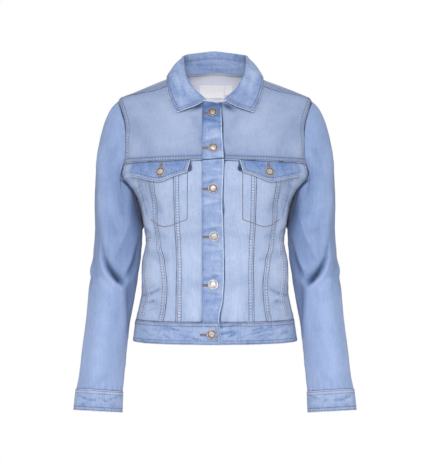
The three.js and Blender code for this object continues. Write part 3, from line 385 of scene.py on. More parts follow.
def follow(table, column):
    """A smooth curve through one column of a table, with no overshoot."""
    rows = np.array(sorted(table), float)
    x, y = rows[:, 0], rows[:, column]
    step = np.diff(y) / np.diff(x)
    slope = np.zeros_like(y)
    slope[0], slope[-1] = step[0], step[-1]
    product = step[:-1] * step[1:]
    total = step[:-1] + step[1:]
    slope[1:-1] = np.where(product > 0, 2 * product / np.where(product > 0, total, 1), 0)

    def at(query):
        q = np.clip(query, x[0], x[-1])
        i = np.clip(np.searchsorted(x, q, side="right") - 1, 0, len(x) - 2)
        span = x[i + 1] - x[i]
        s = (q - x[i]) / span
        rise = y[i] + (y[i + 1] - y[i]) * (3 - 2 * s) * s * s
        return rise + s * (1 - s) * span * ((1 - s) * slope[i] - s * slope[i + 1])

    return at


half_width, front_depth, back_depth, square = (follow(BODY_SECTIONS, k) for k in range(1, 5))
inner_seam_x, outer_seam_x, back_seam_x = (follow(t, 1) for t in (INNER_SEAM, OUTER_SEAM, BACK_SEAM))
placket_edge_x, placket_top_z = follow(PLACKET_EDGE, 1), follow(PLACKET_TOP, 1)
arm_x, arm_half_width, arm_y, arm_half_depth, arm_tilt, arm_pitch = (
    follow(ARM_SECTIONS, k) for k in range(1, 7)
)
collar_height, collar_lean, collar_x, collar_y, collar_z = (follow(COLLAR_SECTIONS, k) for k in range(1, 6))
flap_top_z, flap_bottom_z = (follow(FLAP_OUTLINE, k) for k in (1, 2))


def point(x, y, z):
    return np.stack(np.broadcast_arrays(x, y, z), -1)


def axes(p):
    return p[..., 0], p[..., 1], p[..., 2]


def unit(v):
    return v / np.maximum(np.linalg.norm(v, axis=-1, keepdims=True), 1e-9)


def smooth(low, high, value):
    t = np.clip((value - low) / (high - low), 0, 1)
    return t * t * (3 - 2 * t)


def mix(a, b, share):
    return a + (b - a) * share


def hump(value, place, width):
    """1 at a place, and less on both sides of it."""
    return np.exp(-(((value - place) / width) ** 2))


def ring(angle):
    return np.cos(np.radians(angle)), np.sin(np.radians(angle))


def depth(y, z):
    return np.where(y < 0, front_depth(z), back_depth(z))


def outside_body(p):
    x, y, z = axes(p)
    n = square(z)
    return (np.abs(x / half_width(z)) ** n + np.abs(y / depth(y, z)) ** n) ** (1 / n) - 1


def body_gradient(p, probe=0.02):
    steps = probe * np.eye(3)
    return np.stack([(outside_body(p + s) - outside_body(p - s)) / (2 * probe) for s in steps], -1)


def body_out(p):
    return unit(body_gradient(p))


def snap_to_body(p):
    for _ in range(6):
        g = body_gradient(p)
        p = p - g * (outside_body(p) / (g * g).sum(-1))[..., None]
    return p


def body_point(x, z, face):
    """The place at x and z on the front, where face is -1, or on the back."""
    n = square(z)
    left = np.maximum(0, 1 - np.abs(x / half_width(z)) ** n)
    return point(x, face * depth(face, z) * left ** (1 / n), z)


def on_shoulder(x, y):
    low = np.full(np.shape(x), SHOULDER_LOW_Z)
    high = np.full(np.shape(x), SHOULDER_HIGH_Z)
    for _ in range(40):
        middle = (low + high) / 2
        out = outside_body(point(x, y, middle)) > 0
        high = np.where(out, middle, high)
        low = np.where(out, low, middle)
    return point(x, y, low)


def armhole_point(angle):
    c, s = ring(angle)
    z = ARM_MIDDLE_Z + np.where(c > 0, ARM_TOP_Z - ARM_MIDDLE_Z, ARM_MIDDLE_Z - ARM_BOTTOM_Z) * c
    power = np.where(c > 0, ARM_UPPER_POWER, ARM_LOWER_POWER)
    y = np.where(s > 0, -ARM_REACH_FRONT, ARM_REACH_BACK) * np.abs(s) ** power
    n = square(z)
    return point(half_width(z) * (1 - np.abs(y / depth(y, z)) ** n) ** (1 / n), y, z)


def neck_point(angle):
    """A point of the neckline by its angle from the centre front; the angle's sign is the side's."""
    c, s = ring(angle)
    x = NECK_HALF_WIDTH * np.abs(s) ** (2 / NECK_SQUARE) * np.where(s < 0, -1, 1)
    y = np.where(c > 0, -NECK_FRONT, NECK_BACK) * np.abs(c) ** (2 / NECK_SQUARE)
    return on_shoulder(x, y)


def shoulder_seam(steps):
    neck, arm = neck_point(NECK_SEAM_ANGLE), armhole_point(SHOULDER_SEAM_ANGLE)
    share = np.linspace(0, 1, steps + 1)
    bow = SHOULDER_SEAM_BOW * np.sin(np.pi * share)
    line = on_shoulder(mix(neck[0], arm[0], share), mix(neck[1], arm[1], share) - bow)
    line[0], line[-1] = neck, arm
    return line


def patch(bottom, top, left, right):
    """The sheet between four edges, laid on the body's form."""
    u = np.linspace(0, 1, len(bottom))[None, :, None]
    v = np.linspace(0, 1, len(left))[:, None, None]
    p = bottom[None] * (1 - v) + top[None] * v + left[:, None] * (1 - u) + right[:, None] * u
    p = p - bottom[0] * (1 - u) * (1 - v) - bottom[-1] * u * (1 - v) - top[0] * (1 - u) * v - top[-1] * u * v
    p = snap_to_body(p)
    p[0], p[-1], p[:, 0], p[:, -1] = bottom, top, left, right
    return p


FRONT_ARM_Z, BACK_ARM_Z = (float(armhole_point(angle)[2]) for angle in (FRONT_YOKE_ANGLE, BACK_YOKE_ANGLE))


def yoke_seam_z(x, face):
    reach = np.minimum(1, np.abs(x) / YOKE_SEAM_REACH)
    if face < 0:
        return mix(YOKE_CENTRE_Z, FRONT_ARM_Z, reach**YOKE_SEAM_CURVE)
    return mix(BACK_YOKE_CENTRE_Z, BACK_ARM_Z, reach)


def side_line(face):
    z = np.linspace(WAIST_SEAM_Z, ARMPIT_Z, SIDE_ROWS + 1)[:-1]
    last = FRONT_YOKE_ANGLE if face < 0 else BACK_YOKE_ANGLE
    arm = armhole_point(np.linspace(180, last, ARM_ROWS + 1))
    return np.vstack([body_point(half_width(z), z, face), arm])


def upright_line(x_at, face):
    level = side_line(face)[:, 2]
    share = np.clip((np.arange(len(level)) - SIDE_ROWS) / ARM_ROWS, 0, 1)
    z = level.copy()
    for _ in range(5):
        z = level + share * (yoke_seam_z(x_at(z), face) - level[-1])
    return body_point(x_at(z), z, face)


def level_line(start, end, columns, z_at, face):
    """A line round the body between two points, evenly spaced by its turn round the oval."""

    def turn(p):
        reach = min(1, abs(p[0] / half_width(p[2])))
        return math.copysign(math.asin(reach ** (square(p[2]) / 2)), p[0])

    angle = np.linspace(turn(start), turn(end), columns + 1)
    z = np.linspace(start[2], end[2], columns + 1)
    for _ in range(5):
        x = half_width(z) * np.sign(angle) * np.abs(np.sin(angle)) ** (2 / square(z))
        z = z_at(x)
    line = body_point(x, z, face)
    line[0], line[-1] = start, end
    return line


def constant(value):
    return lambda other: value + 0.0 * other


def lower_panel(left, right, columns, face):
    bottom = level_line(left[0], right[0], columns, constant(WAIST_SEAM_Z), face)
    top = level_line(left[-1], right[-1], columns, lambda x: yoke_seam_z(x, face), face)
    return patch(bottom, top, left, right)


# Folds and creases
def to_segment(u, v, start, end, degree):
    """How far along a straight line each place lies, how far off it, and on which side.

    Where u is an angle, degree is the size of one degree in millimetres.
    """
    du, dv = end[0] - start[0], end[1] - start[1]
    away_u, away_v = u - start[0], v - start[1]
    if degree:
        du, away_u = du * degree, ((away_u + 180) % 360 - 180) * degree
    along = np.clip((away_u * du + away_v * dv) / (du * du + dv * dv), 0, 1)
    side = np.where(du * away_v - dv * away_u > 0, 1, -1)
    return along, np.hypot(away_u - along * du, away_v - along * dv), side


def fold_heights(u, v, folds, degree=None):
    """The summed height of soft straight troughs and ridges at places (u, v)."""
    total = np.zeros(np.shape(u))
    for *ends, width, height in folds:
        along, distance, _ = to_segment(u, v, ends[:2], ends[2:], degree)
        total += height * hump(distance, 0, width * (0.75 + 0.5 * np.sin(np.pi * along)))
    return total


def crease_heights(u, v, curves, degree):
    """The same for creases that follow curves, each with its two unlike sides."""
    total = np.zeros(np.shape(u))
    for curve in curves:
        nearest = np.full(np.shape(u), np.inf)
        height = np.zeros(np.shape(u))
        for start, end in zip(curve, curve[1:]):
            along, distance, side = to_segment(u, v, start, end, degree)
            place = side * distance / mix(start[2], end[2], along)
            form = hump(place, 0, np.where(side > 0, 1.5, 0.7)) - 0.4 * hump(place, -1.7, 0.9)
            height = np.where(distance < nearest, mix(start[3], end[3], along) * form, height)
            nearest = np.minimum(nearest, distance)
        total += height
    return total


def unevenness(p, size=0.5):
    """Slow hollows and swellings, as cloth has that is nowhere quite flat."""
    x, y, z = axes(p)
    slow = np.sin(x / 19 + z / 31 + 1) * np.sin(z / 23 - y / 17 + 2)
    quick = np.sin(x / 8.3 - z / 11 + y / 9 + 0.7) * np.sin(z / 7.1 + x / 13)
    return size * (slow + 0.35 * quick)


def body_relief(p):
    x, y, z = axes(p)
    folds = np.where(y < 0, fold_heights(np.abs(x), z, FRONT_FOLDS), fold_heights(np.abs(x), z, BACK_FOLDS))
    return folds * smooth(6, 30, np.abs(y)) + unevenness(p)


# Sheets of cloth
def grid_normals(grid):
    return unit(np.cross(np.gradient(grid, axis=1), np.gradient(grid, axis=0)))


def lengths(grid):
    """How far each point lies from the four edges, measured along its row and its column."""
    row, column = (
        np.linalg.norm(np.diff(grid, axis=k, prepend=np.take(grid, [0], k)), axis=2).cumsum(k) for k in (1, 0)
    )
    return {"left": row, "right": row[:, -1:] - row, "bottom": column, "top": column[-1:] - column}


def run_of(far, side):
    """How far along an edge each point lies."""
    return far["bottom"] if side in ("left", "right") else far["left"]


def extend(grid, side, by):
    """Carries a grid on past one edge, in the way that its rows or columns run."""
    if side in ("left", "right"):
        return extend(grid.swapaxes(0, 1), {"left": "bottom", "right": "top"}[side], by).swapaxes(0, 1)
    edge, near = (grid[0], grid[1]) if side == "bottom" else (grid[-1], grid[-2])
    more = (edge + unit(edge - near) * by)[None]
    return np.concatenate([more, grid] if side == "bottom" else [grid, more])


def nearest_side(far, sides):
    """For each point the distance to the nearest of some edges, and how far along that edge it lies."""
    distance = np.full(far["left"].shape, FAR_OFF)
    run = np.zeros(distance.shape)
    for side in sides:
        nearer = far[side] < distance
        run = np.where(nearer, run_of(far, side), run)
        distance = np.where(nearer, far[side], distance)
    return distance, run


def sew_edges(grid, over, under, band, lift, seed):
    """Lifts the upper edges of seams, with their puckers, and sinks the lower ones."""
    rng = np.random.default_rng(seed)
    far = lengths(grid)
    height = np.zeros(grid.shape[:2])
    for side in over:
        d = far[side]
        along = run_of(far, side)
        steps = np.arange(0, along.max() + 12, 7.5)
        beat = np.interp(along, steps, rng.uniform(-1, 1, len(steps)))
        height += lift * (1 - smooth(band - 1.5, band + 2.5, d))
        height += 0.55 * beat * hump(d, band * 0.55, 5.0) - 0.45 * hump(d, 0, 0.9)
    for side in under:
        height -= 1.1 * (1 - smooth(0, 4, far[side]))
    return grid + grid_normals(grid) * height[..., None]


class Sheet:
    """A piece of cloth as a grid of points.

    over and under name the edges that lie on a neighbour and under one, and free those that are turned
    in and stitched. Each point knows its distances from the edges, from the nearest stitched edge and
    from the line along which it goes under a neighbour, and how far along the stitched edge it lies.
    """

    def __init__(
        self, grid, relief, over=(), under=(), outwards=body_out, rise=0.0, seed=0,
        band=SEAM_BAND, lift=SEAM_LIFT, free=(), crease_wear_and_shade=CREASE_WEAR_AND_SHADE,
    ):
        for side in over:
            grid = extend(grid, side, OVER_REACH)
        for side in under:
            grid = extend(grid, side, UNDER_REACH)
        normals = grid_normals(grid)
        self.flipped = bool((normals * outwards(grid)).sum() < 0)
        if self.flipped:
            grid = grid[:, ::-1]
            normals = -normals[:, ::-1]
        over, under, free = ([self.named(side) for side in sides] for sides in (over, under, free))
        self.crease_wear_and_shade = crease_wear_and_shade
        self.folds = relief(grid)
        grid = grid + normals * (self.folds + rise)[..., None]
        self.grid = sew_edges(grid, over, under, band, lift, seed)
        self.normals = grid_normals(self.grid)
        self.far = lengths(self.grid)
        self.edge, self.run = nearest_side(self.far, free or over)
        below, _ = nearest_side(self.far, under)
        self.seam = np.where(below < FAR_OFF, below - UNDER_REACH - OVER_REACH, FAR_OFF)

    def named(self, side):
        """The side that a name stands for, as the grid or its mirror image lies now."""
        return {"left": "right", "right": "left"}.get(side, side) if self.flipped else side

    def set_back(self, side):
        """Moves one seam's rows further in and lays a dark line along its edge."""
        far = self.far[self.named(side)]
        near = far <= self.edge + 1e-6
        scale = (SECOND_ROW - FIRST_ROW) / (ARM_ROWS_AT[1] - ARM_ROWS_AT[0])
        self.edge = np.where(near, FIRST_ROW + scale * (far - ARM_ROWS_AT[0]), self.edge)
        self.shadow(np.where(near, far - 0.6, FAR_OFF))

    def shadow(self, distance):
        """Notes distances from a line that is drawn dark: a seam where another piece's edge lies on this one,
        and also painted shadows beside lifted edges and gaps.
        """
        self.seam = np.where(np.abs(distance) < np.abs(self.seam), distance, self.seam)

    def row(self, side, distance, start=0.0, end=1.0):
        """A line at a distance from one edge, as points and normals."""
        side = self.named(side)
        fields = self.far[side][..., None], self.grid, self.normals
        if side in ("left", "right"):
            fields = [field.swapaxes(0, 1) for field in fields]
        if side in ("right", "top"):
            fields = [field[::-1] for field in fields]
        far = fields[0][..., 0]
        last = far.shape[1] - 1
        chosen = range(int(start * last), int(math.ceil(end * last)) + 1)
        points, outs = (
            np.array([
                [np.interp(distance, far[:, i], field[:, i, axis]) for axis in range(3)] for i in chosen
            ])
            for field in fields[1:]
        )
        return points, unit(outs)

    def mirrored(self):
        other = object.__new__(Sheet)
        for name in ("grid", "normals", "folds", "edge", "run", "seam"):
            setattr(other, name, getattr(self, name)[:, ::-1])
        other.grid, other.normals = other.grid * MIRROR, other.normals * MIRROR
        other.far = lengths(other.grid)
        other.crease_wear_and_shade = self.crease_wear_and_shade
        other.flipped = not self.flipped
        return other


# Finishes
DYE = {  # the colours between which each finish is washed out, dark and pale
    "front": ((0.19, 0.27, 0.45), (0.46, 0.53, 0.70)),
    "yoke": ((0.185, 0.25, 0.41), (0.41, 0.475, 0.64)),
    "sleeve": ((0.12, 0.19, 0.36), (0.355, 0.45, 0.69)),
    "band": ((0.10, 0.18, 0.39), (0.46, 0.54, 0.71)),
    "reverse": ((0.60, 0.62, 0.74), (0.80, 0.81, 0.92)),
}
UNWORN_DYE_AND_SHADE = 0.03, 0.05, 0.12  # the dye in the seam lines, and the colour of painted shade and painted shadows
TURN = 2 * math.pi


class Wire:
    """An output of a node. Its arithmetic adds nodes to the same tree."""

    def __init__(self, socket):
        self.socket = socket
        self.tree = socket.id_data

    def maths(self, operation, other=0.0, clamp=False):
        return wire(self.tree, "ShaderNodeMath", {0: self, 1: other}, operation=operation, use_clamp=clamp)

    def __add__(self, other):
        return self.maths("ADD", other)

    def __sub__(self, other):
        return self.maths("SUBTRACT", other)

    def __mul__(self, other):
        return self.maths("MULTIPLY", other)

    def __truediv__(self, other):
        return self.maths("DIVIDE", other)

    def ramp(self, low, high, out_low=0.0, out_high=1.0):
        inputs = {0: self, 1: low, 2: high, 3: out_low, 4: out_high}
        return wire(self.tree, "ShaderNodeMapRange", inputs, clamp=True)

    def line_at(self, place, reach):
        """A soft line where this distance has one value."""
        return (self - place).maths("ABSOLUTE").ramp(reach * 0.3, reach, 1.0, 0.0)

    def stretched(self, *scale):
        return wire(self.tree, "ShaderNodeMapping", {"Vector": self, "Scale": scale})

    def noise(self, scale, detail=2.0, roughness=0.5):
        inputs = {"Vector": self, "Scale": scale, "Detail": detail, "Roughness": roughness}
        return wire(self.tree, "ShaderNodeTexNoise", inputs, "Fac")


def plug(value, socket):
    """Links a wire to a socket, or sets a plain value on it."""
    if isinstance(value, Wire):
        value.tree.links.new(value.socket, socket)
    else:
        socket.default_value = value


def add(tree, kind, inputs=None, **settings):
    node = tree.nodes.new(kind)
    for key, value in settings.items():
        setattr(node, key, value)
    for key, value in (inputs or {}).items():
        plug(value, node.inputs[key])
    return node


def wire(tree, kind, inputs=None, out=0, **settings):
    return Wire(add(tree, kind, inputs, **settings).outputs[out])


def mix_colour(tree, factor, a, b, blend="MIX"):
    return wire(tree, "ShaderNodeMix", {0: factor, 6: a, 7: b}, 2, data_type="RGBA", blend_type=blend)


def new_group(name, inputs, outputs):
    """A node group of plain numbers: its tree, its inputs as wires and its outputs as sockets."""
    tree = bpy.data.node_groups.new(name, "ShaderNodeTree")
    for label, value in inputs.items():
        tree.interface.new_socket(label, in_out="INPUT", socket_type="NodeSocketFloat").default_value = value
    for label in outputs:
        tree.interface.new_socket(label, in_out="OUTPUT", socket_type="NodeSocketFloat")
    start, end = add(tree, "NodeGroupInput"), add(tree, "NodeGroupOutput")
    return tree, {label: Wire(start.outputs[label]) for label in inputs}, end.inputs


def use_group(tree, group, inputs):
    node = add(tree, "ShaderNodeGroup", node_tree=group)
    for key, value in inputs.items():
        plug(value, node.inputs[key])
    return {socket.name: Wire(socket) for socket in node.outputs}


def twill_group():
    """The weave: diagonal ribs, uneven warp threads and their slubs, along the cloth's own grain."""
    inputs = {"Rib Pitch": 0.0009, "Slub Strength": 1.0}
    tree, given, results = new_group("twill weave", inputs, ("Height", "Tint"))
    uv = wire(tree, "ShaderNodeUVMap", uv_map="UVMap")
    across, up, _ = (Wire(socket) for socket in add(tree, "ShaderNodeSeparateXYZ", {0: uv}).outputs)
    rib = ((across + up * 0.62) / given["Rib Pitch"] * TURN).maths("SINE")
    warp = uv.stretched(900.0, 34.0, 1.0).noise(1.0, 2.0, 0.6)
    weft = uv.stretched(60.0, 800.0, 1.0).noise(1.0, 1.0)
    slub = (warp + weft * 0.4 - 0.7) * given["Slub Strength"]
    plug(rib * 0.3 + slub, results["Height"])
    plug(slub + rib * 0.05, results["Tint"])
    return tree


def wash_group():
    """How far the dye is washed out, with painted shade: worn seams, the ladder of puckers between rows, dark
    seam lines, painted shadows, and painted shade along stitch rows and in deep creases.
    """
    inputs = {
        "Paleness": 0.5,
        "Patches": 0.25,
        "Streaks": 0.25,
        "Rubbing": 0.6,
        "Roping": 0.5,
        "First Row": FIRST_ROW,
        "Second Row": SECOND_ROW,
        "Line Strength": 1.0,
        "Weave Tint": 0.0,
    }
    tree, given, results = new_group("wash and wear", inputs, ("Fade", "Line", "Puckers"))
    place = wire(tree, "ShaderNodeTexCoord", out="Object")
    # Per-point attributes; the first holds the piece's fading together with its painted shade and painted
    # light.
    fade_and_shade, edge, run, seam = (
        wire(tree, "ShaderNodeAttribute", out="Fac", attribute_name=name)
        for name in ("fade_and_shade", "edge", "run", "seam")
    )
    clouds, mottle, specks = (
        place.noise(*kind) - 0.5 for kind in ((14.0, 3.0, 0.55), (70.0, 3.0, 0.6), (230.0, 2.0, 0.6))
    )
    streaks = place.stretched(330.0, 330.0, 10.0).noise(1.0, 3.0, 0.6) - 0.5
    patches = (clouds * 0.6 + mottle * 0.7 + specks * 0.75) * given["Patches"] + streaks * given["Streaks"]

    flecks = place.noise(300.0, 2.0, 0.7).ramp(0.35, 0.65, 0.3, 1.25)
    worn = edge.ramp(0.7, 2.3, 1.0, 0.0) * flecks * given["Rubbing"]

    wave = (run * (TURN / PUCKER_PITCH) + place.noise(55.0, 1.0) * 9.0).maths("SINE")
    window = (edge - given["First Row"]).ramp(0.3, 1.8)
    window = window * (given["Second Row"] - edge).ramp(0.3, 1.8)
    puckers = wave.ramp(-0.35, 0.75) * window * place.noise(24.0, 1.0).ramp(0.35, 0.65, 0.35, 1.2)
    roped = (puckers - window * 0.28) * given["Roping"]
    plug(puckers * given["Roping"], results["Puckers"])

    # Thin dark lines along the rows of stitching: painted shade of the dimples where the stitches sink in.
    rows = edge.line_at(given["First Row"], 1.1).maths("MAXIMUM", edge.line_at(given["Second Row"], 1.1))
    # Dark lines at the seams, and painted shadows beside lifted edges and gaps, wherever the seam attribute
    # is small.
    beside = seam.maths("ABSOLUTE").ramp(1.0, 2.7, 0.95, 0.0)
    uneven = place.noise(45.0, 2.0).ramp(0.3, 0.7, 0.65, 1.15)
    line = beside.maths("MAXIMUM", rows * 0.5) * uneven * given["Line Strength"]
    # Painted shade: the deepest creases darken towards the unworn dye.
    deep_crease_shade = fade_and_shade.ramp(-1.0, -0.38, 0.85, 0.0)
    plug(line.maths("MAXIMUM", deep_crease_shade, clamp=True), results["Line"])

    total = given["Paleness"] + fade_and_shade + (patches + worn) + roped
    plug(total.maths("ADD", given["Weave Tint"], clamp=True), results["Fade"])
    return tree


TWILL = twill_group()
WASH = wash_group()


def finish(name, look, bump_strength, bump_depth, constants):
    """A material whose look gives the wires to its shader and the height of its bump."""
    material = bpy.data.materials.new(name)
    material.use_nodes = True
    tree = material.node_tree
    shader = tree.nodes["Principled BSDF"]
    wires, height = look(tree)
    bump = {"Height": height, "Strength": bump_strength, "Distance": bump_depth}
    wires["Normal"] = wire(tree, "ShaderNodeBump", bump)
    for key, value in (wires | constants).items():
        plug(value, shader.inputs[key])
    return material


def denim(name, dye, paleness, patches, streaks, rubbing, roping, rows=ROWS, slubs=0.5, lines=1.0):
    def look(tree):
        weave = use_group(tree, TWILL, {"Slub Strength": slubs})
        values = {
            "Paleness": paleness,
            "Patches": patches,
            "Streaks": streaks,
            "Rubbing": rubbing,
            "Roping": roping,
            "First Row": rows[0],
            "Second Row": rows[1],
            "Line Strength": lines,
            "Weave Tint": weave["Tint"] * 0.55,
        }
        wash = use_group(tree, WASH, values)
        dark, pale = ((*colour, 1) for colour in DYE[dye])
        washed = mix_colour(tree, wash["Fade"], dark, pale)
        colour = mix_colour(tree, wash["Line"], washed, (*UNWORN_DYE_AND_SHADE, 1))
        return {"Base Color": colour}, weave["Height"] * 0.25 + wash["Puckers"] * 1.3 - wash["Line"] * 0.6

    matt = {"Roughness": 0.92, "Specular IOR Level": 0.2, "Sheen Weight": 0.12, "Sheen Roughness": 0.6}
    return finish(name, look, 0.6, 0.0009, matt)


def thread(name, colour):
    def look(tree):
        place = wire(tree, "ShaderNodeTexCoord", out="Object")
        shade = place.noise(300.0).ramp(0.3, 0.7, 0.75, 1.15)
        tone = wire(tree, "ShaderNodeCombineColor", {0: shade, 1: shade, 2: shade})
        twist = wire(tree, "ShaderNodeTexWave", {"Vector": place, "Scale": 700.0, "Distortion": 2.0}, "Fac")
        return {"Base Color": mix_colour(tree, 1.0, (*colour, 1), tone, "MULTIPLY")}, twist

    return finish(name, look, 0.4, 0.0002, {"Roughness": 0.7})


def button_metal(name, bright, dull):
    def look(tree):
        place = wire(tree, "ShaderNodeTexCoord", out="Object")
        tarnish = place.noise(260.0, 4.0, 0.6).ramp(0.35, 0.7)
        colour = mix_colour(tree, tarnish, (*bright, 1), (*dull, 1))
        return {"Base Color": colour, "Roughness": tarnish.ramp(0.0, 1.0, 0.46, 0.66)}, place.noise(900.0)

    return finish(name, look, 0.25, 0.0002, {"Metallic": 0.8})


def woven_tape(name, dull, bright):
    def look(tree):
        ribs = wire(tree, "ShaderNodeUVMap", uv_map="UVMap").stretched(300.0, 2600.0, 1.0).noise(1.0, 1.0)
        return {"Base Color": mix_colour(tree, ribs, (*dull, 1), (*bright, 1))}, ribs

    return finish(name, look, 0.3, 0.0002, {"Roughness": 0.6})


FRONT = denim("washed denim front", "front", 0.54, 0.42, 0.5, 0.65, 0.74)
YOKE = denim("washed denim yoke", "yoke", 0.33, 0.24, 0.4, 0.5, 0.8)
SLEEVE = denim("washed denim sleeve", "sleeve", 0.48, 0.26, 0.35, 0.7, 0.5)
BAND = denim("washed denim band", "band", 0.38, 0.6, 0.3, 0.9, 0.35, BAND_ROWS)
WAISTBAND = denim("washed denim waistband", "band", 0.37, 0.65, 0.15, 0.45, 0.12, BAND_ROWS)
PLACKET = denim("washed denim placket", "band", 0.52, 0.6, 0.15, 0.95, 0.0, NO_ROWS)
REVERSE = denim("denim reverse", "reverse", 0.85, 0.3, 0.3, 0.0, 0.0, slubs=0.9, lines=0.3)
TAN_THREAD = thread("tan topstitch thread", (0.20, 0.125, 0.09))
PALE_THREAD = thread("grey topstitch thread", (0.15, 0.125, 0.13))
RUST_THREAD = thread("rust buttonhole thread", (0.21, 0.135, 0.10))
METAL = button_metal("button metal", (0.50, 0.455, 0.44), (0.30, 0.265, 0.25))
PALER_BUTTON_METAL = button_metal("pale button metal", (0.58, 0.57, 0.575), (0.42, 0.40, 0.39))
RIM_METAL = button_metal("button rim metal", (0.42, 0.385, 0.38), (0.25, 0.225, 0.22))
PALE_RIM_METAL = button_metal("pale rim metal", (0.64, 0.63, 0.64), (0.42, 0.40, 0.40))
RING_METAL = button_metal("button ring metal", (0.20, 0.175, 0.17), (0.10, 0.09, 0.088))
LABEL = woven_tape("label tape", (0.93, 0.93, 0.95), (0.98, 0.98, 0.99))


# Making the meshes
PIECES = {}  # each finished piece by its name
LINES = {"tan": [], "pale": []}  # the rows of topstitching, by thread


def keep(obj, nodes, slot, sheet=None):
    """Notes what a finished piece stands for, and the sheet that it was made from."""
    PIECES[obj.name] = (obj, nodes, slot, sheet)


def deselect():
    if bpy.context.object and bpy.context.object.mode != "OBJECT":
        bpy.ops.object.mode_set(mode="OBJECT")
    bpy.ops.object.select_all(action="DESELECT")


def apply_modifiers(obj):
    deselect()
    obj.select_set(True)
    bpy.context.view_layer.objects.active = obj
    for modifier in list(obj.modifiers):
        bpy.ops.object.modifier_apply(modifier=modifier.name)


def round_edges(obj, width, degrees):
    bevel = obj.modifiers.new("rounded edges", "BEVEL")
    bevel.width = width * MM
    bevel.segments = 2
    bevel.limit_method = "ANGLE"
    bevel.angle_limit = math.radians(degrees)


def cloth(
    name, sheet, thickness, outer, inner=None, fade_and_shade=None, slot="denim", closed=False, rounding=0.0,
    kind="cloth",
):
    """Makes a grid primitive, lays its points as the sheet lies and gives it the cloth's thickness."""
    rows, columns = sheet.grid.shape[:2]
    deselect()
    bpy.ops.mesh.primitive_grid_add(x_subdivisions=columns - 1, y_subdivisions=rows - 1, size=1)
    obj = bpy.context.object
    obj.name = obj.data.name = f"{name}_{kind}"
    mesh = obj.data
    mesh.vertices.foreach_set("co", (sheet.grid * MM).ravel())
    uv = np.stack([sheet.far["left"], sheet.far["bottom"]], -1).reshape(-1, 2) * MM
    loops = np.empty(len(mesh.loops), int)
    mesh.loops.foreach_get("vertex_index", loops)
    mesh.uv_layers[0].name = "UVMap"
    mesh.uv_layers[0].data.foreach_set("uv", uv[loops].ravel())
    # Troughs of the folds get painted shade and their ridges painted light, with the dye's wear there; the
    # piece's own fading and painted shade are added.
    faded_and_shaded = np.clip(sheet.crease_wear_and_shade * sheet.folds, -1.1, 0.25) + (fade_and_shade(sheet) if fade_and_shade else 0)
    for label, values in (("edge", sheet.edge), ("run", sheet.run), ("seam", sheet.seam), ("fade_and_shade", faded_and_shaded)):
        layer = mesh.attributes.new(label, "FLOAT", "POINT")
        layer.data.foreach_set("value", np.ascontiguousarray(values, float).ravel())
    mesh.materials.append(outer)
    mesh.materials.append(inner or outer)
    if closed:
        bpy.ops.object.mode_set(mode="EDIT")
        bpy.ops.mesh.select_all(action="SELECT")
        bpy.ops.mesh.remove_doubles(threshold=2e-5)
        bpy.ops.object.mode_set(mode="OBJECT")
    wall = obj.modifiers.new("thickness", "SOLIDIFY")
    wall.thickness = thickness * MM
    wall.offset = -1
    wall.material_offset = 1
    wall.material_offset_rim = 0
    if rounding:
        round_edges(obj, rounding, 50)
    apply_modifiers(obj)
    bpy.ops.object.shade_smooth_by_angle(angle=math.radians(50))
    keep(obj, [name], slot, sheet)


def both_sides(name, sheet, *finish, **more):
    """Makes the left piece and its mirror image, and returns the sheets of both."""
    copies = sheet, sheet.mirrored()
    for side, copy in zip(("left", "right"), copies):
        cloth(f"{name}_{side}", copy, *finish, **more)
    return copies


def cut_size(sheet):
    """The width and length in metres that the cloth was cut to, and its area."""
    across, up = np.diff(sheet.grid, axis=1), np.diff(sheet.grid, axis=0)
    quads = np.linalg.norm(np.cross(across[:-1], up[:, :-1]), axis=-1)
    width, length = (round(sheet.far[side].max() * MM, 3) for side in ("left", "bottom"))
    area = float(quads.sum()) * MM * MM
    return (width, length), round(min(area, width * length), 6)


def centre_fade(reach, low, high, sides=ALL_SIDES):
    """Paler in the middle of a piece than near its edges."""

    def fade_and_shade(sheet):
        near = np.minimum.reduce([sheet.far[sheet.named(side)] for side in sides])
        return mix(low, high, smooth(0, reach, near))

    return fade_and_shade


def note_rows(key, sheet, side, distances=ROWS, start=0.0, end=1.0):
    """Keeps lines of topstitching for later."""
    LINES[key] += [sheet.row(side, distance, start, end) for distance in distances]


# The body: its panels are made for the left, and the right ones mirror them but for the front edge
def shade_from_placket(sheet, side):
    """Paints a dark line beside the placket: on the left panels a painted shadow beside its free edge, wider
    where it gapes; on the right ones, where it is sewn, a seam line.
    """
    x, _, z = axes(sheet.grid)
    if side == "right":
        sheet.shadow(PLACKET_SEAM_X - x + 1.1)
        return
    shadow_reach = 0.3 + sum(reach * hump(z, place, width) for place, width, reach in PLACKET_GAP_SHADOWS)
    sheet.shadow(np.maximum(0, x - placket_edge_x(z) - shadow_reach))


def shade_from_flap(sheet):
    """The flap's inner end stands off, and a painted shadow makes a dark slit beside it."""
    x, _, z = axes(np.abs(sheet.grid))
    slit_x = FLAP_OUTLINE[0][0] + 0.1 * (z - 176) - 3.0 * hump(z, 185, 7)
    beyond = np.maximum(0, -z - flap_top_z(x)) + np.maximum(0, z - 190)
    sheet.shadow(np.maximum(0, slit_x - x) + 2 * beyond + np.maximum(0, x - 60))


# Paler in the middle of the panel, plus the painted shade and painted light of the front's painted wrinkles.
def front_fade_and_shade(part):
    paler = centre_fade(24, -0.1, 0.03, ALL_SIDES[1:] if part == "centre" else ALL_SIDES)

    def fade_and_shade(sheet):
        x, _, z = axes(sheet.grid)
        return paler(sheet) + fold_heights(np.abs(x), z, FRONT_PAINTED_CREASES)

    return fade_and_shade


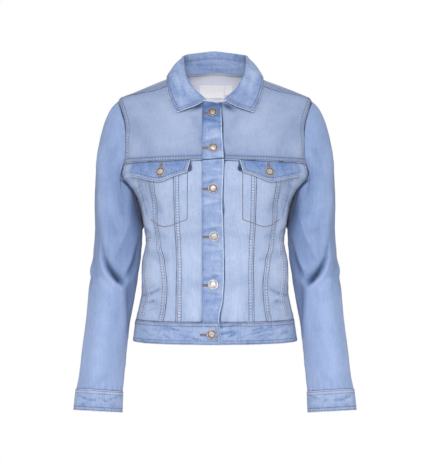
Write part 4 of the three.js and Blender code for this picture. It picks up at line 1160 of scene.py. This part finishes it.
def front_panels():
    joins = {  # for each part the edges that lie over a neighbour and under one, and its seed
        "centre": (["right"], ["top", "bottom"], 5),
        "middle": ([], ALL_SIDES, 6),
        "side": (["left", "right"], ["top", "bottom"], 7),
    }
    for side, edge_x in FRONT_EDGES:
        edge = upright_line(constant(edge_x), -1)
        inner, outer = (upright_line(x_at, -1) for x_at in (inner_seam_x, outer_seam_x))
        grids = {
            "centre": lower_panel(edge, inner, 28 if side == "left" else 18, -1),
            "middle": lower_panel(inner, outer, 14, -1),
            "side": lower_panel(outer, side_line(-1), 26, -1),
        }
        for part, grid in grids.items():
            over, under, seed = joins[part]
            sheet = Sheet(grid, body_relief, over, under, seed=seed)
            if part == "side":
                sheet.set_back("right")
            if side == "right":
                sheet = sheet.mirrored()
            shade_from_placket(sheet, side)
            shade_from_flap(sheet)
            cloth(f"front_{part}_{side}", sheet, CLOTH, FRONT, REVERSE, front_fade_and_shade(part))
            if part == "centre":
                note_rows("tan", sheet, "right")
        note_rows("tan", sheet, "left")
        note_rows("pale", sheet, "right", ARM_ROWS_AT)


def yoke_fade_and_shade(sheet):
    """Darker along the bottom band, with painted shadow under the collar's points."""
    x, _, z = axes(sheet.grid)
    above = z - yoke_seam_z(x, -1)
    band = (1 - smooth(8, 11, above)) * smooth(2, 3.5, above)
    shade = hump(x, -30, 13) * hump(z - 0.4 * (x + 30), -68, 4.5)
    shade += hump(x, 24, 13) * hump(z + 0.5 * (x - 24), -68, 6.5)
    return centre_fade(38, -0.16, 0.1, ALL_SIDES[1:])(sheet) - 0.3 * band - 1.2 * np.minimum(1, shade)


def front_yokes():
    for side, edge_x in FRONT_EDGES:
        start = body_point(edge_x, yoke_seam_z(edge_x, -1), -1)
        end = armhole_point(FRONT_YOKE_ANGLE)
        bottom = level_line(start, end, 60, lambda x: yoke_seam_z(x, -1), -1)
        neck_turn = math.degrees(math.asin((abs(edge_x) / NECK_HALF_WIDTH) ** (NECK_SQUARE / 2)))
        neckline = neck_point(np.linspace(math.copysign(neck_turn, edge_x), NECK_SEAM_ANGLE, 31))
        edge = body_point(edge_x, np.linspace(bottom[0, 2], neckline[0, 2], 36), -1)
        left = np.vstack([edge[:-1], neckline])
        right = armhole_point(np.linspace(FRONT_YOKE_ANGLE, SHOULDER_SEAM_ANGLE, len(left)))
        grid = patch(bottom, shoulder_seam(60), left, right)
        sheet = Sheet(grid, body_relief, ["bottom", "right"], ["top"], seed=3)
        sheet.set_back("right")
        if side == "right":
            sheet = sheet.mirrored()
        shade_from_placket(sheet, side)
        cloth(f"front_yoke_{side}", sheet, CLOTH, YOKE, REVERSE, yoke_fade_and_shade)
        note_rows("tan", sheet, "bottom")
        note_rows("pale", sheet, "right", ARM_ROWS_AT)


def back_pieces():
    seam = upright_line(back_seam_x, 1)
    half = lower_panel(upright_line(constant(0), 1), seam, 24, 1)
    centre = np.concatenate([(half * MIRROR)[:, :0:-1], half], axis=1)
    sheet = Sheet(centre, body_relief, ["left", "right"], ["top", "bottom"], seed=11)
    cloth("back_centre", sheet, CLOTH, FRONT, REVERSE, centre_fade(30, -0.2, 0.1))
    for side in ("left", "right"):
        note_rows("pale", sheet, side)
    panel = lower_panel(seam, side_line(1), 34, 1)
    sheet = Sheet(panel, body_relief, ["right"], ["left", "top", "bottom"], seed=12)
    for copy in both_sides("back_side", sheet, CLOTH, FRONT, REVERSE, centre_fade(30, -0.22, 0.08)):
        note_rows("pale", copy, "right", start=0.72)

    rows = 46
    arm = armhole_point(np.linspace(SHOULDER_SEAM_ANGLE + 360, BACK_YOKE_ANGLE, 41))
    seam = level_line(arm[-1], body_point(0, BACK_YOKE_CENTRE_Z, 1), 50, lambda x: yoke_seam_z(x, 1), 1)
    outer = np.vstack([arm[:-1], seam])
    neckline = neck_point(np.linspace(NECK_SEAM_ANGLE, JUST_BEHIND, len(outer)))
    middle = body_point(0, np.linspace(neckline[-1, 2], BACK_YOKE_CENTRE_Z, rows + 1), 1)
    middle[0] = neckline[-1]
    half = patch(neckline, outer, shoulder_seam(rows), middle)
    whole = np.concatenate([half, (half * MIRROR)[:, -2::-1]], axis=1)
    sheet = Sheet(whole, body_relief, ["top", "left", "right"], ["bottom"], seed=13)
    cloth("back_yoke", sheet, CLOTH, YOKE, REVERSE, centre_fade(36, -0.2, 0.15))
    for side in ("top", "left", "right"):
        note_rows("pale", sheet, side)


# Sleeves and cuffs
def turned(x, y, z, pitch, tilt):
    a, b = np.radians(-pitch), np.radians(-tilt)
    x, z = x * np.cos(b) + z * np.sin(b), z * np.cos(b) - x * np.sin(b)
    return point(x, y * np.cos(a) - z * np.sin(a), y * np.sin(a) + z * np.cos(a))


def arm_point(angle, z):
    c, s = ring(angle)
    across = turned(arm_half_width(z) * c, -arm_half_depth(z) * s, 0.0 * c, arm_pitch(z), arm_tilt(z))
    return point(arm_x(z), arm_y(z), z) + across


def cap_point(angle, share):
    """A point between the armhole and the first section of the sleeve."""
    c, s = ring(angle)
    start = armhole_point(angle) - 0.5 * point(0, -s, c)
    end = arm_point(angle, ARM_SECTIONS[0][0])
    chord = np.linalg.norm(end - start, axis=-1, keepdims=True)
    top = (1 + c) / 2
    leave = unit(point(0.04 + 0.84 * top**0.8, -0.16 * s, -0.98 + 0.5 * top**3))
    leave = leave * chord * mix(1.1, 0.6, top)[..., None]
    arrive = -UP * chord * mix(1, 1.25, top)[..., None]
    t = share[..., None]
    return (
        start * (2 * t**3 - 3 * t**2 + 1)
        + leave * (t**3 - 2 * t**2 + t)
        + end * (3 * t**2 - 2 * t**3)
        + arrive * (t**3 - t**2)
    )


def sleeve_out(grid):
    _, _, z = axes(grid)
    return unit(grid - point(arm_x(z), arm_y(z), z))


def sleeve_sheet(from_angle, to_angle, columns, over, under, seed):
    angle = np.linspace(from_angle, to_angle, columns + 1)
    z = np.linspace(ARM_SECTIONS[0][0], CUFF_TOP_Z, 135)[:, None]
    grid = np.concatenate([cap_point(angle, np.linspace(0, 1, 65)[:-1, None]), arm_point(angle, z)])

    def relief(points):
        """The grid may have been carried on past its edges, so the angles are carried on too."""
        extra = points.shape[1] - len(angle)
        wide = np.pad(angle, (extra // 2, extra - extra // 2), mode="edge")
        if points[0, 0, 1] != grid[0, 0, 1] and abs(points[5, 0, 1] - grid[5, 0, 1]) > 5:
            wide = wide[::-1]
        z = points[..., 2]
        places = wide + 0 * z, z
        folds = fold_heights(*places, ARM_FOLDS, ARM_DEGREE)
        folds = folds + crease_heights(*places, ARM_CREASES, ARM_DEGREE)
        gathers = 0.9 * np.sin(np.radians(wide * 19 + 40 * np.sin(np.radians(wide * 3))))
        return folds + gathers * hump(z, CUFF_TOP_Z, 15) + unevenness(points)

    return Sheet(grid, relief, over, under, sleeve_out, seed=seed)


def sleeve_fade_and_shade(sheet):
    """Paler low down, and along the front ridge with wear and painted light; painted shade on the inside
    towards the body and near the elbow, a painted shadow slit at the armpit, and painted light along the
    lower sleeve's sides that evens out its shading.
    """
    x, y, z = axes(sheet.grid)
    x = np.abs(x)
    ridge = hump(x, arm_x(z) + 4, 24) * (y < arm_y(z))
    low = smooth(-380, -480, z)
    # Painted shade on the inside, towards the body, and a painted shadow slit where the sleeve goes behind
    # the body at the armpit.
    inside = smooth(20, 42, arm_x(z) - x) * smooth(-330, -250, z)
    reach = mix(3.5, 11, smooth(-200, -262, z))
    slit = smooth(reach, 0.3 * reach, x - half_width(z)) * smooth(-199, -207, z) * smooth(-296, -250, z)
    # Painted light on the lower sleeve's sides, which evens out their shading.
    across = np.minimum(1, np.abs(x - arm_x(z)) / arm_half_width(z)) ** 3
    painted_side_light = 0.2 * across * smooth(-380, -450, z)
    return 0.13 * ridge + 0.14 * low - 0.08 - 0.95 * inside - 1.1 * slit - 0.09 * hump(z, -330, 40) + painted_side_light


def sleeves():
    upper = sleeve_sheet(BACK_ARM_SEAM_ANGLE - 360, 180, 100, ["left", "right"], ["top", "bottom"], 21)
    under = sleeve_sheet(180, BACK_ARM_SEAM_ANGLE, 36, [], ALL_SIDES, 22)
    uppers = both_sides("sleeve_upper", upper, CLOTH, SLEEVE, REVERSE, sleeve_fade_and_shade)
    both_sides("sleeve_under", under, CLOTH, SLEEVE, REVERSE, sleeve_fade_and_shade)
    for copy in uppers:
        note_rows("pale", copy, "left", (FIRST_ROW,))


def cuffs():
    z = np.linspace(CUFF_TOP_Z + 1.5, CUFF_TOP_Z - CUFF_DEPTH, 29)[:, None]

    def relief(p):
        x, y, z = axes(p)
        turn = np.arctan2(y - arm_y(z), x - arm_x(z))
        wave = np.sin(turn * 23) * 0.2 + np.sin(turn * 11 + 1) * 0.3 + np.sin(turn * 37 + 2) * 0.1
        wave *= smooth(CUFF_TOP_Z + 2, CUFF_TOP_Z - 6, z)
        return 1.9 + wave + crease_heights(-np.degrees(turn) % 360, z, CUFF_CREASES, CUFF_DEGREE)

    def fade_and_shade(sheet):
        return -0.12 - 0.1 * smooth(3, 12, sheet.far["bottom"]) + 0.12 * smooth(8, 18, sheet.far["top"])

    sheet = Sheet(
        arm_point(np.linspace(0, 360, 181), z), relief,
        outwards=sleeve_out, free=("top", "bottom"), crease_wear_and_shade=BAND_CREASE_WEAR_AND_SHADE,
    )
    sheet.grid[:, -1] = sheet.grid[:, 0]
    finish = BAND_CLOTH, BAND, BAND, fade_and_shade, "denim_bands"
    for copy in both_sides("cuff", sheet, *finish, closed=True, rounding=0.8):
        note_rows("tan", copy, "top", BAND_ROWS)
        note_rows("tan", copy, "bottom", BAND_ROWS[:1])


# Collar
def collar_profile(angle, rows):
    """Lines round the neck: up the stand, over the fold and down the fall, with rows of each."""
    neck = neck_point(angle)
    near = neck_point(angle + 0.4) - neck_point(angle - 0.4)
    out = unit(point(-near[..., 1], near[..., 0], 0.0))
    out = out * np.sign((out * neck)[:, :2].sum(-1))[:, None]
    end = smooth(COLLAR_END_ANGLE + 15, COLLAR_END_ANGLE, angle)[:, None]
    foot = neck - out * STAND_INSET + UP * STAND_FOOT_GAP
    fold = neck - out * collar_lean(angle)[:, None] + UP * collar_height(angle)[:, None]
    fold = fold + np.array([-4.5, -2.5, -5.5]) * end
    edge = point(collar_x(angle), collar_y(angle), collar_z(angle))
    lines = [mix(foot, fold, share) for share in np.linspace(0, 1, rows[0] + 1)]
    for share in np.linspace(0, 1, rows[1] + 1)[1:]:
        turn = math.pi * share
        lines.append(fold + COLLAR_ROLL / 2 * (out * (1 - math.cos(turn)) + UP * math.sin(turn)))
    start = lines[-1]
    swell = unit(out + UP * 0.5)
    bow = COLLAR_BOW * np.array([-0.4, -0.5, -0.9]) * end
    for share in np.linspace(0, 1, rows[2] + 1)[1:]:
        line = mix(start, edge, share) + swell * COLLAR_SWELL * math.sin(math.pi * share)
        lines.append(line + bow * math.sin(math.pi * share**0.75))
    return np.stack(lines)


def collar():
    rows = (14, 8, 22)
    profile = collar_profile(np.linspace(COLLAR_END_ANGLE, JUST_BEHIND, 90), rows)
    profile[:, -1, 0] = 0
    whole = np.concatenate([profile, (profile * MIRROR)[:, -2::-1]], axis=1)
    split = int(round(rows[0] * STAND_SHARE))

    def inwards(grid):
        return unit(0.2 * UP - grid * np.array([1, 1, 0]))

    def fall_out(grid):
        return np.concatenate([inwards(grid[:3]), 0 * grid[3:]])

    def rolling(p):
        return unevenness(p, 0.3) + fold_heights(p[..., 0], p[..., 2], STAND_FOLDS)

    def waves(p):
        x, _, z = axes(p)
        rippled = smooth(0, 60, np.abs(x)) * 0.4 * np.sin(z / 6 + x / 9)
        return unevenness(p) + rippled + fold_heights(np.abs(x), z, COLLAR_FOLDS)

    stand = Sheet(whole[: split + 1], rolling, (), ["top"], inwards, seed=31, crease_wear_and_shade=BAND_CREASE_WEAR_AND_SHADE)
    stand.seam = np.abs(stand.seam) + 1.0
    cloth("collar_stand", stand, FOLDED_CLOTH, BAND, BAND, centre_fade(9, -0.14, -0.04), "denim_bands")

    fall = Sheet(
        whole[split:], waves, ["bottom"], (), fall_out, seed=32,
        band=5, lift=0.25, free=("top", "left", "right"), crease_wear_and_shade=BAND_CREASE_WEAR_AND_SHADE,
    )
    fall.grid -= fall.normals * (0.5 * hump(fall.edge, 0, 1.2))[..., None]
    fall.grid += fall.normals * (hump(fall.edge, 5, 4.2) * (0.25 + 0.35 * np.sin(fall.run / 3.1)))[..., None]
    paler = centre_fade(22, -0.2, 0.06)
    cloth("collar_fall", fall, FOLDED_CLOTH, BAND, BAND, paler, "denim_bands", rounding=0.7)
    for distance in BAND_ROWS:
        inset = distance / 92
        note_rows("tan", fall, "top", (distance,), inset / 3.6, 1 - inset / 3.6)
        for side in ("left", "right"):
            note_rows("tan", fall, side, (distance,), 0.42, 1 - inset)
    note_rows("tan", fall, "bottom", (2.6,), 0.2, 0.8)


# Bands down the front and round the waist
def placket_relief(p):
    """Pulled in at each button, with drags across it, and folded over the yoke seam that it covers."""
    x, _, z = axes(p)
    height = smooth(2, 16, x) * (0.8 * np.sin(z / 17) + 0.5 * np.sin(z / 9 + 1) + 1.0)
    height += 0.6 * hump(z, YOKE_CENTRE_Z + 5, 6) - 1.2 * hump(z, YOKE_CENTRE_Z, 1.6)
    for button_z in FRONT_BUTTONS:
        above = z - button_z
        height += 0.5 * hump(above - 0.4 * x, -20, 7) - 0.6 * hump(above + 0.7 * x, 14, 4)
        height -= 0.9 * hump(x, FRONT_BUTTON_X, 12) * hump(above, 0, 9)
        height += fold_heights(x, above, PLACKET_DRAGS)
    return height + unevenness(p, 0.3)


def placket():
    share = np.linspace(0, 1, 17)
    z = np.linspace(WAIST_SEAM_Z + 0.2, PLACKET_TOP_Z, 150)[:, None]
    rows = body_point(mix(PLACKET_SEAM_X, placket_edge_x(z), share), z, -1)
    last_x = rows[-1, :, 0]
    blend = np.linspace(0, 1, 6)[1:, None]
    ends = body_point(last_x, mix(PLACKET_TOP_Z, placket_top_z(last_x), blend), -1)

    def fade_and_shade(sheet):
        z = sheet.grid[..., 2]
        # Painted shade on the placket's top, under the collar.
        return centre_fade(9, -0.22, -0.06)(sheet) - 0.34 * smooth(-118, -84, z) - 0.08 * np.sin(z / 13) ** 2

    sheet = Sheet(
        np.concatenate([rows, ends]), placket_relief,
        rise=FOLDED_CLOTH + 0.9, free=("right",), crease_wear_and_shade=PLACKET_CREASE_WEAR_AND_SHADE,
    )
    # A dark line across the placket: painted shade where it dips over the yoke seam.
    sheet.shadow(1.7 * (sheet.grid[..., 2] - YOKE_CENTRE_Z - 0.08 * sheet.grid[..., 0]))
    cloth("placket", sheet, FOLDED_CLOTH, PLACKET, PLACKET, fade_and_shade, "denim_bands", rounding=0.7)


def waistband():
    rng = np.random.default_rng(8)
    creases = []
    for x in np.arange(-138, 138, 5):
        drawn = rng.uniform((-4, 4, 10, -4, 1.1, -2.1), (4, 30, 26, 4, 2.0, 0.9))
        start, drop, slant, tilt, width, height = drawn
        lean = tilt + 0.35 * slant * (1 if x < 0 else -1)
        top_z = -468 - drop
        creases.append((x + start, top_z, x + start + slant, top_z - lean, width, height))

    def near_side(z):
        return -half_width(z)

    def right_end(z):
        return mix(13.5, 7.5, (z - HEM_Z) / (WAIST_SEAM_Z - HEM_Z))

    def puckers(p):
        x, y, z = axes(p)
        along = x + 1.7 * y
        wave = 0.35 * np.sin(along / 3.1) + 0.35 * np.sin(along / 5.3 + 2) + 0.3 * np.sin(along / 2.1 + 1)
        edge = hump(z, WAIST_SEAM_Z - 5, 5) + 0.7 * hump(z, HEM_Z + 4, 4)
        return 1.1 + wave * edge + unevenness(p) + fold_heights(x, z, creases)

    def lapped(p):
        return puckers(p) + 3.1 * smooth(-46, -24, p[..., 0])

    parts = (  # name, its two ends, face, columns and relief
        ("right", near_side, right_end, -1, 90, lapped),
        ("left", constant(FRONT_EDGES[0][1]), half_width, -1, 90, puckers),
        ("back", near_side, half_width, 1, 140, puckers),
    )
    for name, start_x, end_x, face, columns, relief in parts:
        lines = []
        for z in np.linspace(HEM_Z, WAIST_SEAM_Z + 1.5, 23):
            start, end = (body_point(x_at(z), z, face) for x_at in (start_x, end_x))
            lines.append(level_line(start, end, columns, constant(z), face))
        free = ("top", "bottom", "right") if name == "right" else ("top", "bottom")
        sheet = Sheet(np.stack(lines), relief, free=free, crease_wear_and_shade=BAND_CREASE_WEAR_AND_SHADE)
        sheet.shadow(sheet.far["top"] + 1.2)
        finish = BAND_CLOTH, WAISTBAND, WAISTBAND, centre_fade(14, -0.24, -0.1)
        cloth(f"waistband_{name}", sheet, *finish, "denim_bands", rounding=0.8)
        note_rows("tan", sheet, "top", BAND_ROWS)
        note_rows("tan", sheet, "bottom", BAND_ROWS[:1])


def flap_relief(p):
    """Hangs free below its seam, pulled in at the button."""
    x, _, z = axes(p)
    fall = np.clip((flap_top_z(x) - z) / (flap_top_z(x) - flap_bottom_z(x)), 0, 1)
    ends = 1.6 * hump(x, FLAP_OUTLINE[0][0], 9) + 1.2 * hump(x, FLAP_OUTLINE[-1][0], 8)
    dent = -1.1 * hump(x, POCKET_BUTTON[0], 11) * hump(z, POCKET_BUTTON[1], 8)
    folds = fold_heights(x, z, FLAP_DRAGS) + 0.5 * fold_heights(x, z, FRONT_FOLDS)
    return 2.4 * fall**2 + ends * fall + dent + folds + unevenness(p, 0.3)


def flaps():
    """The grid's rows run down, so what it calls its top is the flap's free edge."""
    down = np.linspace(0, 1, 15)[:, None]
    x = mix(FLAP_OUTLINE[0][0] + FLAP_SLANT * down**1.3, FLAP_OUTLINE[-1][0], np.linspace(0, 1, 45))
    grid = body_point(x, mix(flap_top_z(x), flap_bottom_z(x), down), -1)
    sheet = Sheet(grid, flap_relief, rise=FOLDED_CLOTH + 1.4, free=("top", "left"))
    # A painted shadow along the flap's sewn top, where it is tucked under the yoke.
    sheet.shadow(sheet.far["bottom"])

    def fade_and_shade(sheet):
        return -0.24 * smooth(0.8, 5, sheet.edge) + 0.04

    for copy in both_sides("pocket_flap", sheet, FOLDED_CLOTH, BAND, BAND, fade_and_shade, "denim_bands", rounding=0.7):
        for distance in BAND_ROWS:
            note_rows("pale", copy, "top", (distance,), distance / 115, 1 - distance / 115)
            note_rows("pale", copy, "left", (distance,), 0, 1 - distance / 34)


def welts():
    share = np.linspace(0, 1, 49)[:, None]
    z = mix(WELT_BOTTOM_Z, WELT_TOP_Z, share)
    angle = mix(WELT_BOTTOM_ANGLE, WELT_TOP_ANGLE, share)
    across = np.linspace(-0.5, 0.5, 7) * np.degrees(WELT_WIDTH * 1.25 / half_width(z))
    x = half_width(z) * np.sin(np.radians(angle + across)) ** (2 / square(z))
    sheet = Sheet(body_point(x, z, -1), body_relief, rise=1.6, free=("left", "right"))
    for copy in both_sides("side_welt", sheet, WELT_CLOTH, FRONT, FRONT, None, "denim_bands", rounding=0.4):
        for side in ("left", "right"):
            note_rows("tan", copy, side, (2.0,))


def labels():
    for name, from_x, to_x, height, lift in LABELS:
        z = np.linspace(LABEL_TOP_Z - height, LABEL_TOP_Z, 11)[:, None]
        sheet = Sheet(
            body_point(np.linspace(from_x, to_x, 21), z, 1), lambda p: 0.5 * np.sin(p[..., 0] / 11) + 0.3,
            outwards=lambda p: -body_out(p), rise=CLOTH + 1.2 + lift,
        )
        cloth(name, sheet, LABEL_CLOTH, LABEL, slot="label_tape", kind="tape")


# Sewing
def stitch_form(sides=6):
    """One stitch, as a low loaf along X that dips into the cloth at both ends."""
    rings = ((-0.36, 0.8, 0.35), (0.0, 1.0, 0.6), (0.36, 0.8, 0.35))  # place, size and lift
    points = []
    for along, size, lift in rings:
        for turn in np.arange(sides) * TURN / sides:
            points.append((along, 0.5 * size * math.cos(turn), 0.3 * size * math.sin(turn) + 0.3 * lift))
    points += [(-0.5, 0, -0.15), (0.5, 0, -0.15)]
    tip, last = len(rings) * sides, (len(rings) - 1) * sides
    faces = []
    for near in range(last):
        far = near + 1 if (near + 1) % sides else near + 1 - sides
        faces.append((near, far, far + sides, near + sides))
    for k in range(sides):
        after = (k + 1) % sides
        faces += [(tip, after, k), (tip + 1, last + k, last + after)]
    return np.array(points), faces


STITCH_POINTS, STITCH_FACES = stitch_form()


def place_stitches(middles, alongs, outs, length, width):
    frames = np.stack([alongs, unit(np.cross(outs, alongs)), outs], 1)
    return middles[:, None] + (STITCH_POINTS * np.array([length, width, width])) @ frames


def measured(points):
    """A line's length, and a function that gives what belongs to its points at lengths along it."""
    run = np.concatenate([[0], np.cumsum(np.linalg.norm(np.diff(points, axis=0), axis=1))])

    def at(places, values=points):
        return np.stack([np.interp(places, run, values[:, k]) for k in range(values.shape[1])], -1)

    return run[-1], at


def row_of_stitches(points, outs, pitch=STITCH_PITCH, length=STITCH_LENGTH, width=STITCH_WIDTH):
    total, at = measured(points)
    count = max(1, int(total / pitch))
    places = (np.arange(count) + 0.5) * total / count
    along = unit(at(places + length / 2) - at(places - length / 2))
    return place_stitches(at(places), along, unit(at(places, outs)), length, width)


def zigzag(points, outs, width, pitch=0.55):
    """Close stitches side by side across a line."""
    total, at = measured(points)
    places = np.arange(0, total, pitch)
    middle, out = at(places), unit(at(places, outs))
    along = unit(np.cross(out, unit(at(places + 0.3) - middle + 1e-6)))
    return place_stitches(middle, along, out, width, 0.6)


def stitches_mesh(name, blocks, material):
    points = np.concatenate(blocks)
    size = len(STITCH_POINTS)
    faces = [[k + s * size for k in face] for s in range(len(points)) for face in STITCH_FACES]
    mesh = bpy.data.meshes.new(name)
    mesh.from_pydata((points.reshape(-1, 3) * MM).tolist(), [], faces)
    obj = bpy.data.objects.new(name, mesh)
    bpy.context.scene.collection.objects.link(obj)
    mesh.materials.append(material)
    mesh.shade_smooth()
    keep(obj, [], "denim_bands")


def surface_of(names):
    """What is needed to find places on finished pieces."""
    points, faces = [], []
    for name in names:
        mesh = PIECES[f"{name}_cloth"][0].data
        base = len(points)
        points += [v.co.copy() for v in mesh.vertices]
        faces += [[base + k for k in p.vertices] for p in mesh.polygons]
    return BVHTree.FromPolygons(points, faces)


def on_front(tree, x, z):
    """The place and normal that are met from straight in front, at x and z."""
    place, normal, _, _ = tree.ray_cast(Vector((x * MM, -0.5, z * MM)), Vector((0, 1, 0)))
    return np.array(place) / MM, np.array(normal)


def line_on_front(tree, corners, step=1.5):
    total, at = measured(np.array(corners, float))
    hits = [on_front(tree, x, z) for x, z in at(np.linspace(0, total, max(2, int(total / step))))]
    return tuple(np.array(part) for part in zip(*hits))


def sewing():
    parts = [f"front_{part}_{side}" for part in ("centre", "middle", "side") for side in ("left", "right")]
    tree = surface_of(parts)
    bags, tacks = [], []
    for sign in (1, -1):
        bag = line_on_front(tree, [(sign * x, z) for x, z in POCKET_STITCHES])
        bags.append(row_of_stitches(*bag, 2.9, 2.9, 1.5))
        for x, z in BAR_TACKS:
            tack = line_on_front(tree, ((sign * (x - 4), z), (sign * (x + 4), z + 1)), 0.5)
            tacks.append(zigzag(*tack, 2.2))
    for key, material in (("tan", TAN_THREAD), ("pale", PALE_THREAD)):
        stitches_mesh(f"{key}_topstitching", [row_of_stitches(*line) for line in LINES[key]], material)
    stitches_mesh("pocket_bag_stitching", bags, PALE_THREAD)
    stitches_mesh("bar_tacks", tacks, RUST_THREAD)


# Buttons and buttonholes
def button_form(metals):
    """One tack button, face up on the XY plane, with its domed middle, rim and sunk ring."""
    deselect()
    bpy.ops.mesh.primitive_cylinder_add(
        vertices=40, radius=BUTTON_RADIUS * MM, depth=1.6 * MM, location=(0, 0, 1.0 * MM)
    )
    obj = bpy.context.object
    bpy.ops.object.mode_set(mode="EDIT")
    bpy.ops.mesh.select_mode(type="FACE")
    bpy.ops.mesh.select_all(action="DESELECT")
    bpy.ops.object.mode_set(mode="OBJECT")
    for face in obj.data.polygons:
        face.select = face.normal.z > 0.9
    bpy.ops.object.mode_set(mode="EDIT")
    for inset, lift in BUTTON_STEPS:
        bpy.ops.mesh.inset(thickness=inset * MM)
        bpy.ops.transform.translate(value=(0, 0, lift * MM))
    bpy.ops.object.mode_set(mode="OBJECT")
    round_edges(obj, 0.18, 28)
    apply_modifiers(obj)
    bpy.ops.mesh.primitive_cylinder_add(
        vertices=20, radius=2.5 * MM, depth=4.5 * MM, location=(0, 0, -1.6 * MM)
    )
    obj.select_set(True)
    bpy.context.view_layer.objects.active = obj
    bpy.ops.object.join()
    bpy.ops.object.shade_smooth_by_angle(angle=math.radians(35))
    for metal in metals:
        obj.data.materials.append(metal)
    for face in obj.data.polygons:
        inwards = BUTTON_RADIUS - math.hypot(face.center.x, face.center.y) / MM
        face.material_index = 1 if inwards < 1.9 else 2 if inwards < 3.9 else 0
    return obj


def buttonhole_threads(tree, x, z, way, length):
    """Close stitches along both lips of a keyhole buttonhole, round its eye and across its end."""
    way = np.array(way) / np.linalg.norm(way)
    side = np.array([-way[1], way[0]])
    middle = np.array([x, z])
    end, start = middle + way * length, middle + way * 3
    eye = [middle + 3.2 * (way * math.cos(t) + side * math.sin(t)) for t in np.linspace(0.5, TURN - 0.5, 12)]
    route = [end + side * 1.3, start + side * 1.3, *eye, start - side * 1.3, end - side * 1.3]
    bar = line_on_front(tree, [end + side * 2, end - side * 2], 0.4)
    return [zigzag(*line_on_front(tree, route, 0.6), 2.5), zigzag(*bar, 1.8, 0.4)]


def buttons_and_holes():
    places = []  # name, x, height, what carries it, the way and the length of its buttonhole
    for k, (z, shift) in enumerate(zip(FRONT_BUTTONS, BUTTON_SHIFTS)):
        x = FRONT_BUTTON_X + shift
        places.append((f"front_button_{k + 1}", x, z, "placket", (-1, 0), x + 22))
    places.append(("front_button_6", *WAIST_BUTTON, "waistband_right", (-1, 0), 20.5))
    for side, sign in (("left", 1), ("right", -1)):
        x, z = POCKET_BUTTON
        places.append((f"pocket_button_{side}", sign * x, z, f"pocket_flap_{side}", (0.12 * -sign, 1), 17.5))
    bronze = button_form((METAL, RIM_METAL, RING_METAL))
    # The paler form is a painted reflection, for the buttons that catch brighter light.
    brighter_form = button_form((PALER_BUTTON_METAL, PALE_RIM_METAL, RIM_METAL))
    threads = []
    for name, x, z, carrier, way, length in places:
        tree = surface_of([carrier])
        hits = [on_front(tree, x + dx, z + dz) for dx, dz in ((0, 0), (5, 0), (-5, 0), (0, 5), (0, -5))]
        middle, out = hits[0][0], unit(np.mean([h[1] for h in hits], axis=0))
        form = brighter_form if name in BUTTONS_PAINTED_BRIGHTER else bronze
        cap = form.copy()
        cap.data = form.data.copy()
        cap.name = cap.data.name = f"{name}_metal"
        bpy.context.scene.collection.objects.link(cap)
        turn = Vector((0, 0, 1)).rotation_difference(Vector(out)).to_matrix().to_4x4()
        cap.data.transform(Matrix.Translation(Vector((middle + out * BUTTON_LIFT) * MM)) @ turn)
        keep(cap, [name], "button_metal")
        threads += buttonhole_threads(tree, x, z, way, length)
    for form in (bronze, brighter_form):
        bpy.data.objects.remove(form)
    stitches_mesh("buttonhole_thread", threads, RUST_THREAD)


front_panels()
front_yokes()
back_pieces()
sleeves()
cuffs()
collar()
placket()
waistband()
flaps()
welts()
labels()
sewing()
buttons_and_holes()

for obj, nodes, slot, sheet in PIECES.values():
    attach(obj, "root")
    if nodes:
        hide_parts(*nodes)
    if sheet:
        flat, area = cut_size(sheet)


# The studio: a plain pale floor, soft lights and the camera at the photo's angle
def studio():
    scene = bpy.context.scene
    deselect()
    bpy.ops.mesh.primitive_plane_add(size=3, location=(0, 0, -1.1))
    floor = bpy.context.object
    floor.name = "floor"
    paint = bpy.data.materials.new("floor paint")
    paint.use_nodes = True
    shader = paint.node_tree.nodes["Principled BSDF"]
    shader.inputs["Base Color"].default_value = (0.9, 0.9, 0.9, 1)
    shader.inputs["Roughness"].default_value = 0.9
    floor.data.materials.append(paint)

    world = bpy.data.worlds.new("studio")
    world.use_nodes = True
    sky = world.node_tree.nodes["Background"]
    sky.inputs[0].default_value = (1, 1, 1, 1)
    seen = wire(world.node_tree, "ShaderNodeLightPath", out="Is Camera Ray")
    plug(seen.ramp(0.0, 1.0, 0.35, 1.0), sky.inputs[1])
    scene.world = world

    for name, place, size, power in LIGHTS:
        light = bpy.data.lights.new(name, "AREA")
        light.size = size
        light.energy = power
        lamp = bpy.data.objects.new(name, light)
        lamp.location = place
        lamp.rotation_euler = (Vector((0, 0, EYE[2])) - Vector(place)).to_track_quat("-Z", "Y").to_euler()
        scene.collection.objects.link(lamp)

    camera = bpy.data.cameras.new("camera")
    camera.sensor_fit = "VERTICAL"
    camera.sensor_height = 36
    camera.lens = LENS
    eye = bpy.data.objects.new("camera", camera)
    eye.location = EYE
    eye.rotation_euler = (math.radians(90), 0, 0)
    scene.collection.objects.link(eye)
    scene.camera = eye
    scene.view_settings.view_transform = "Standard"


studio()
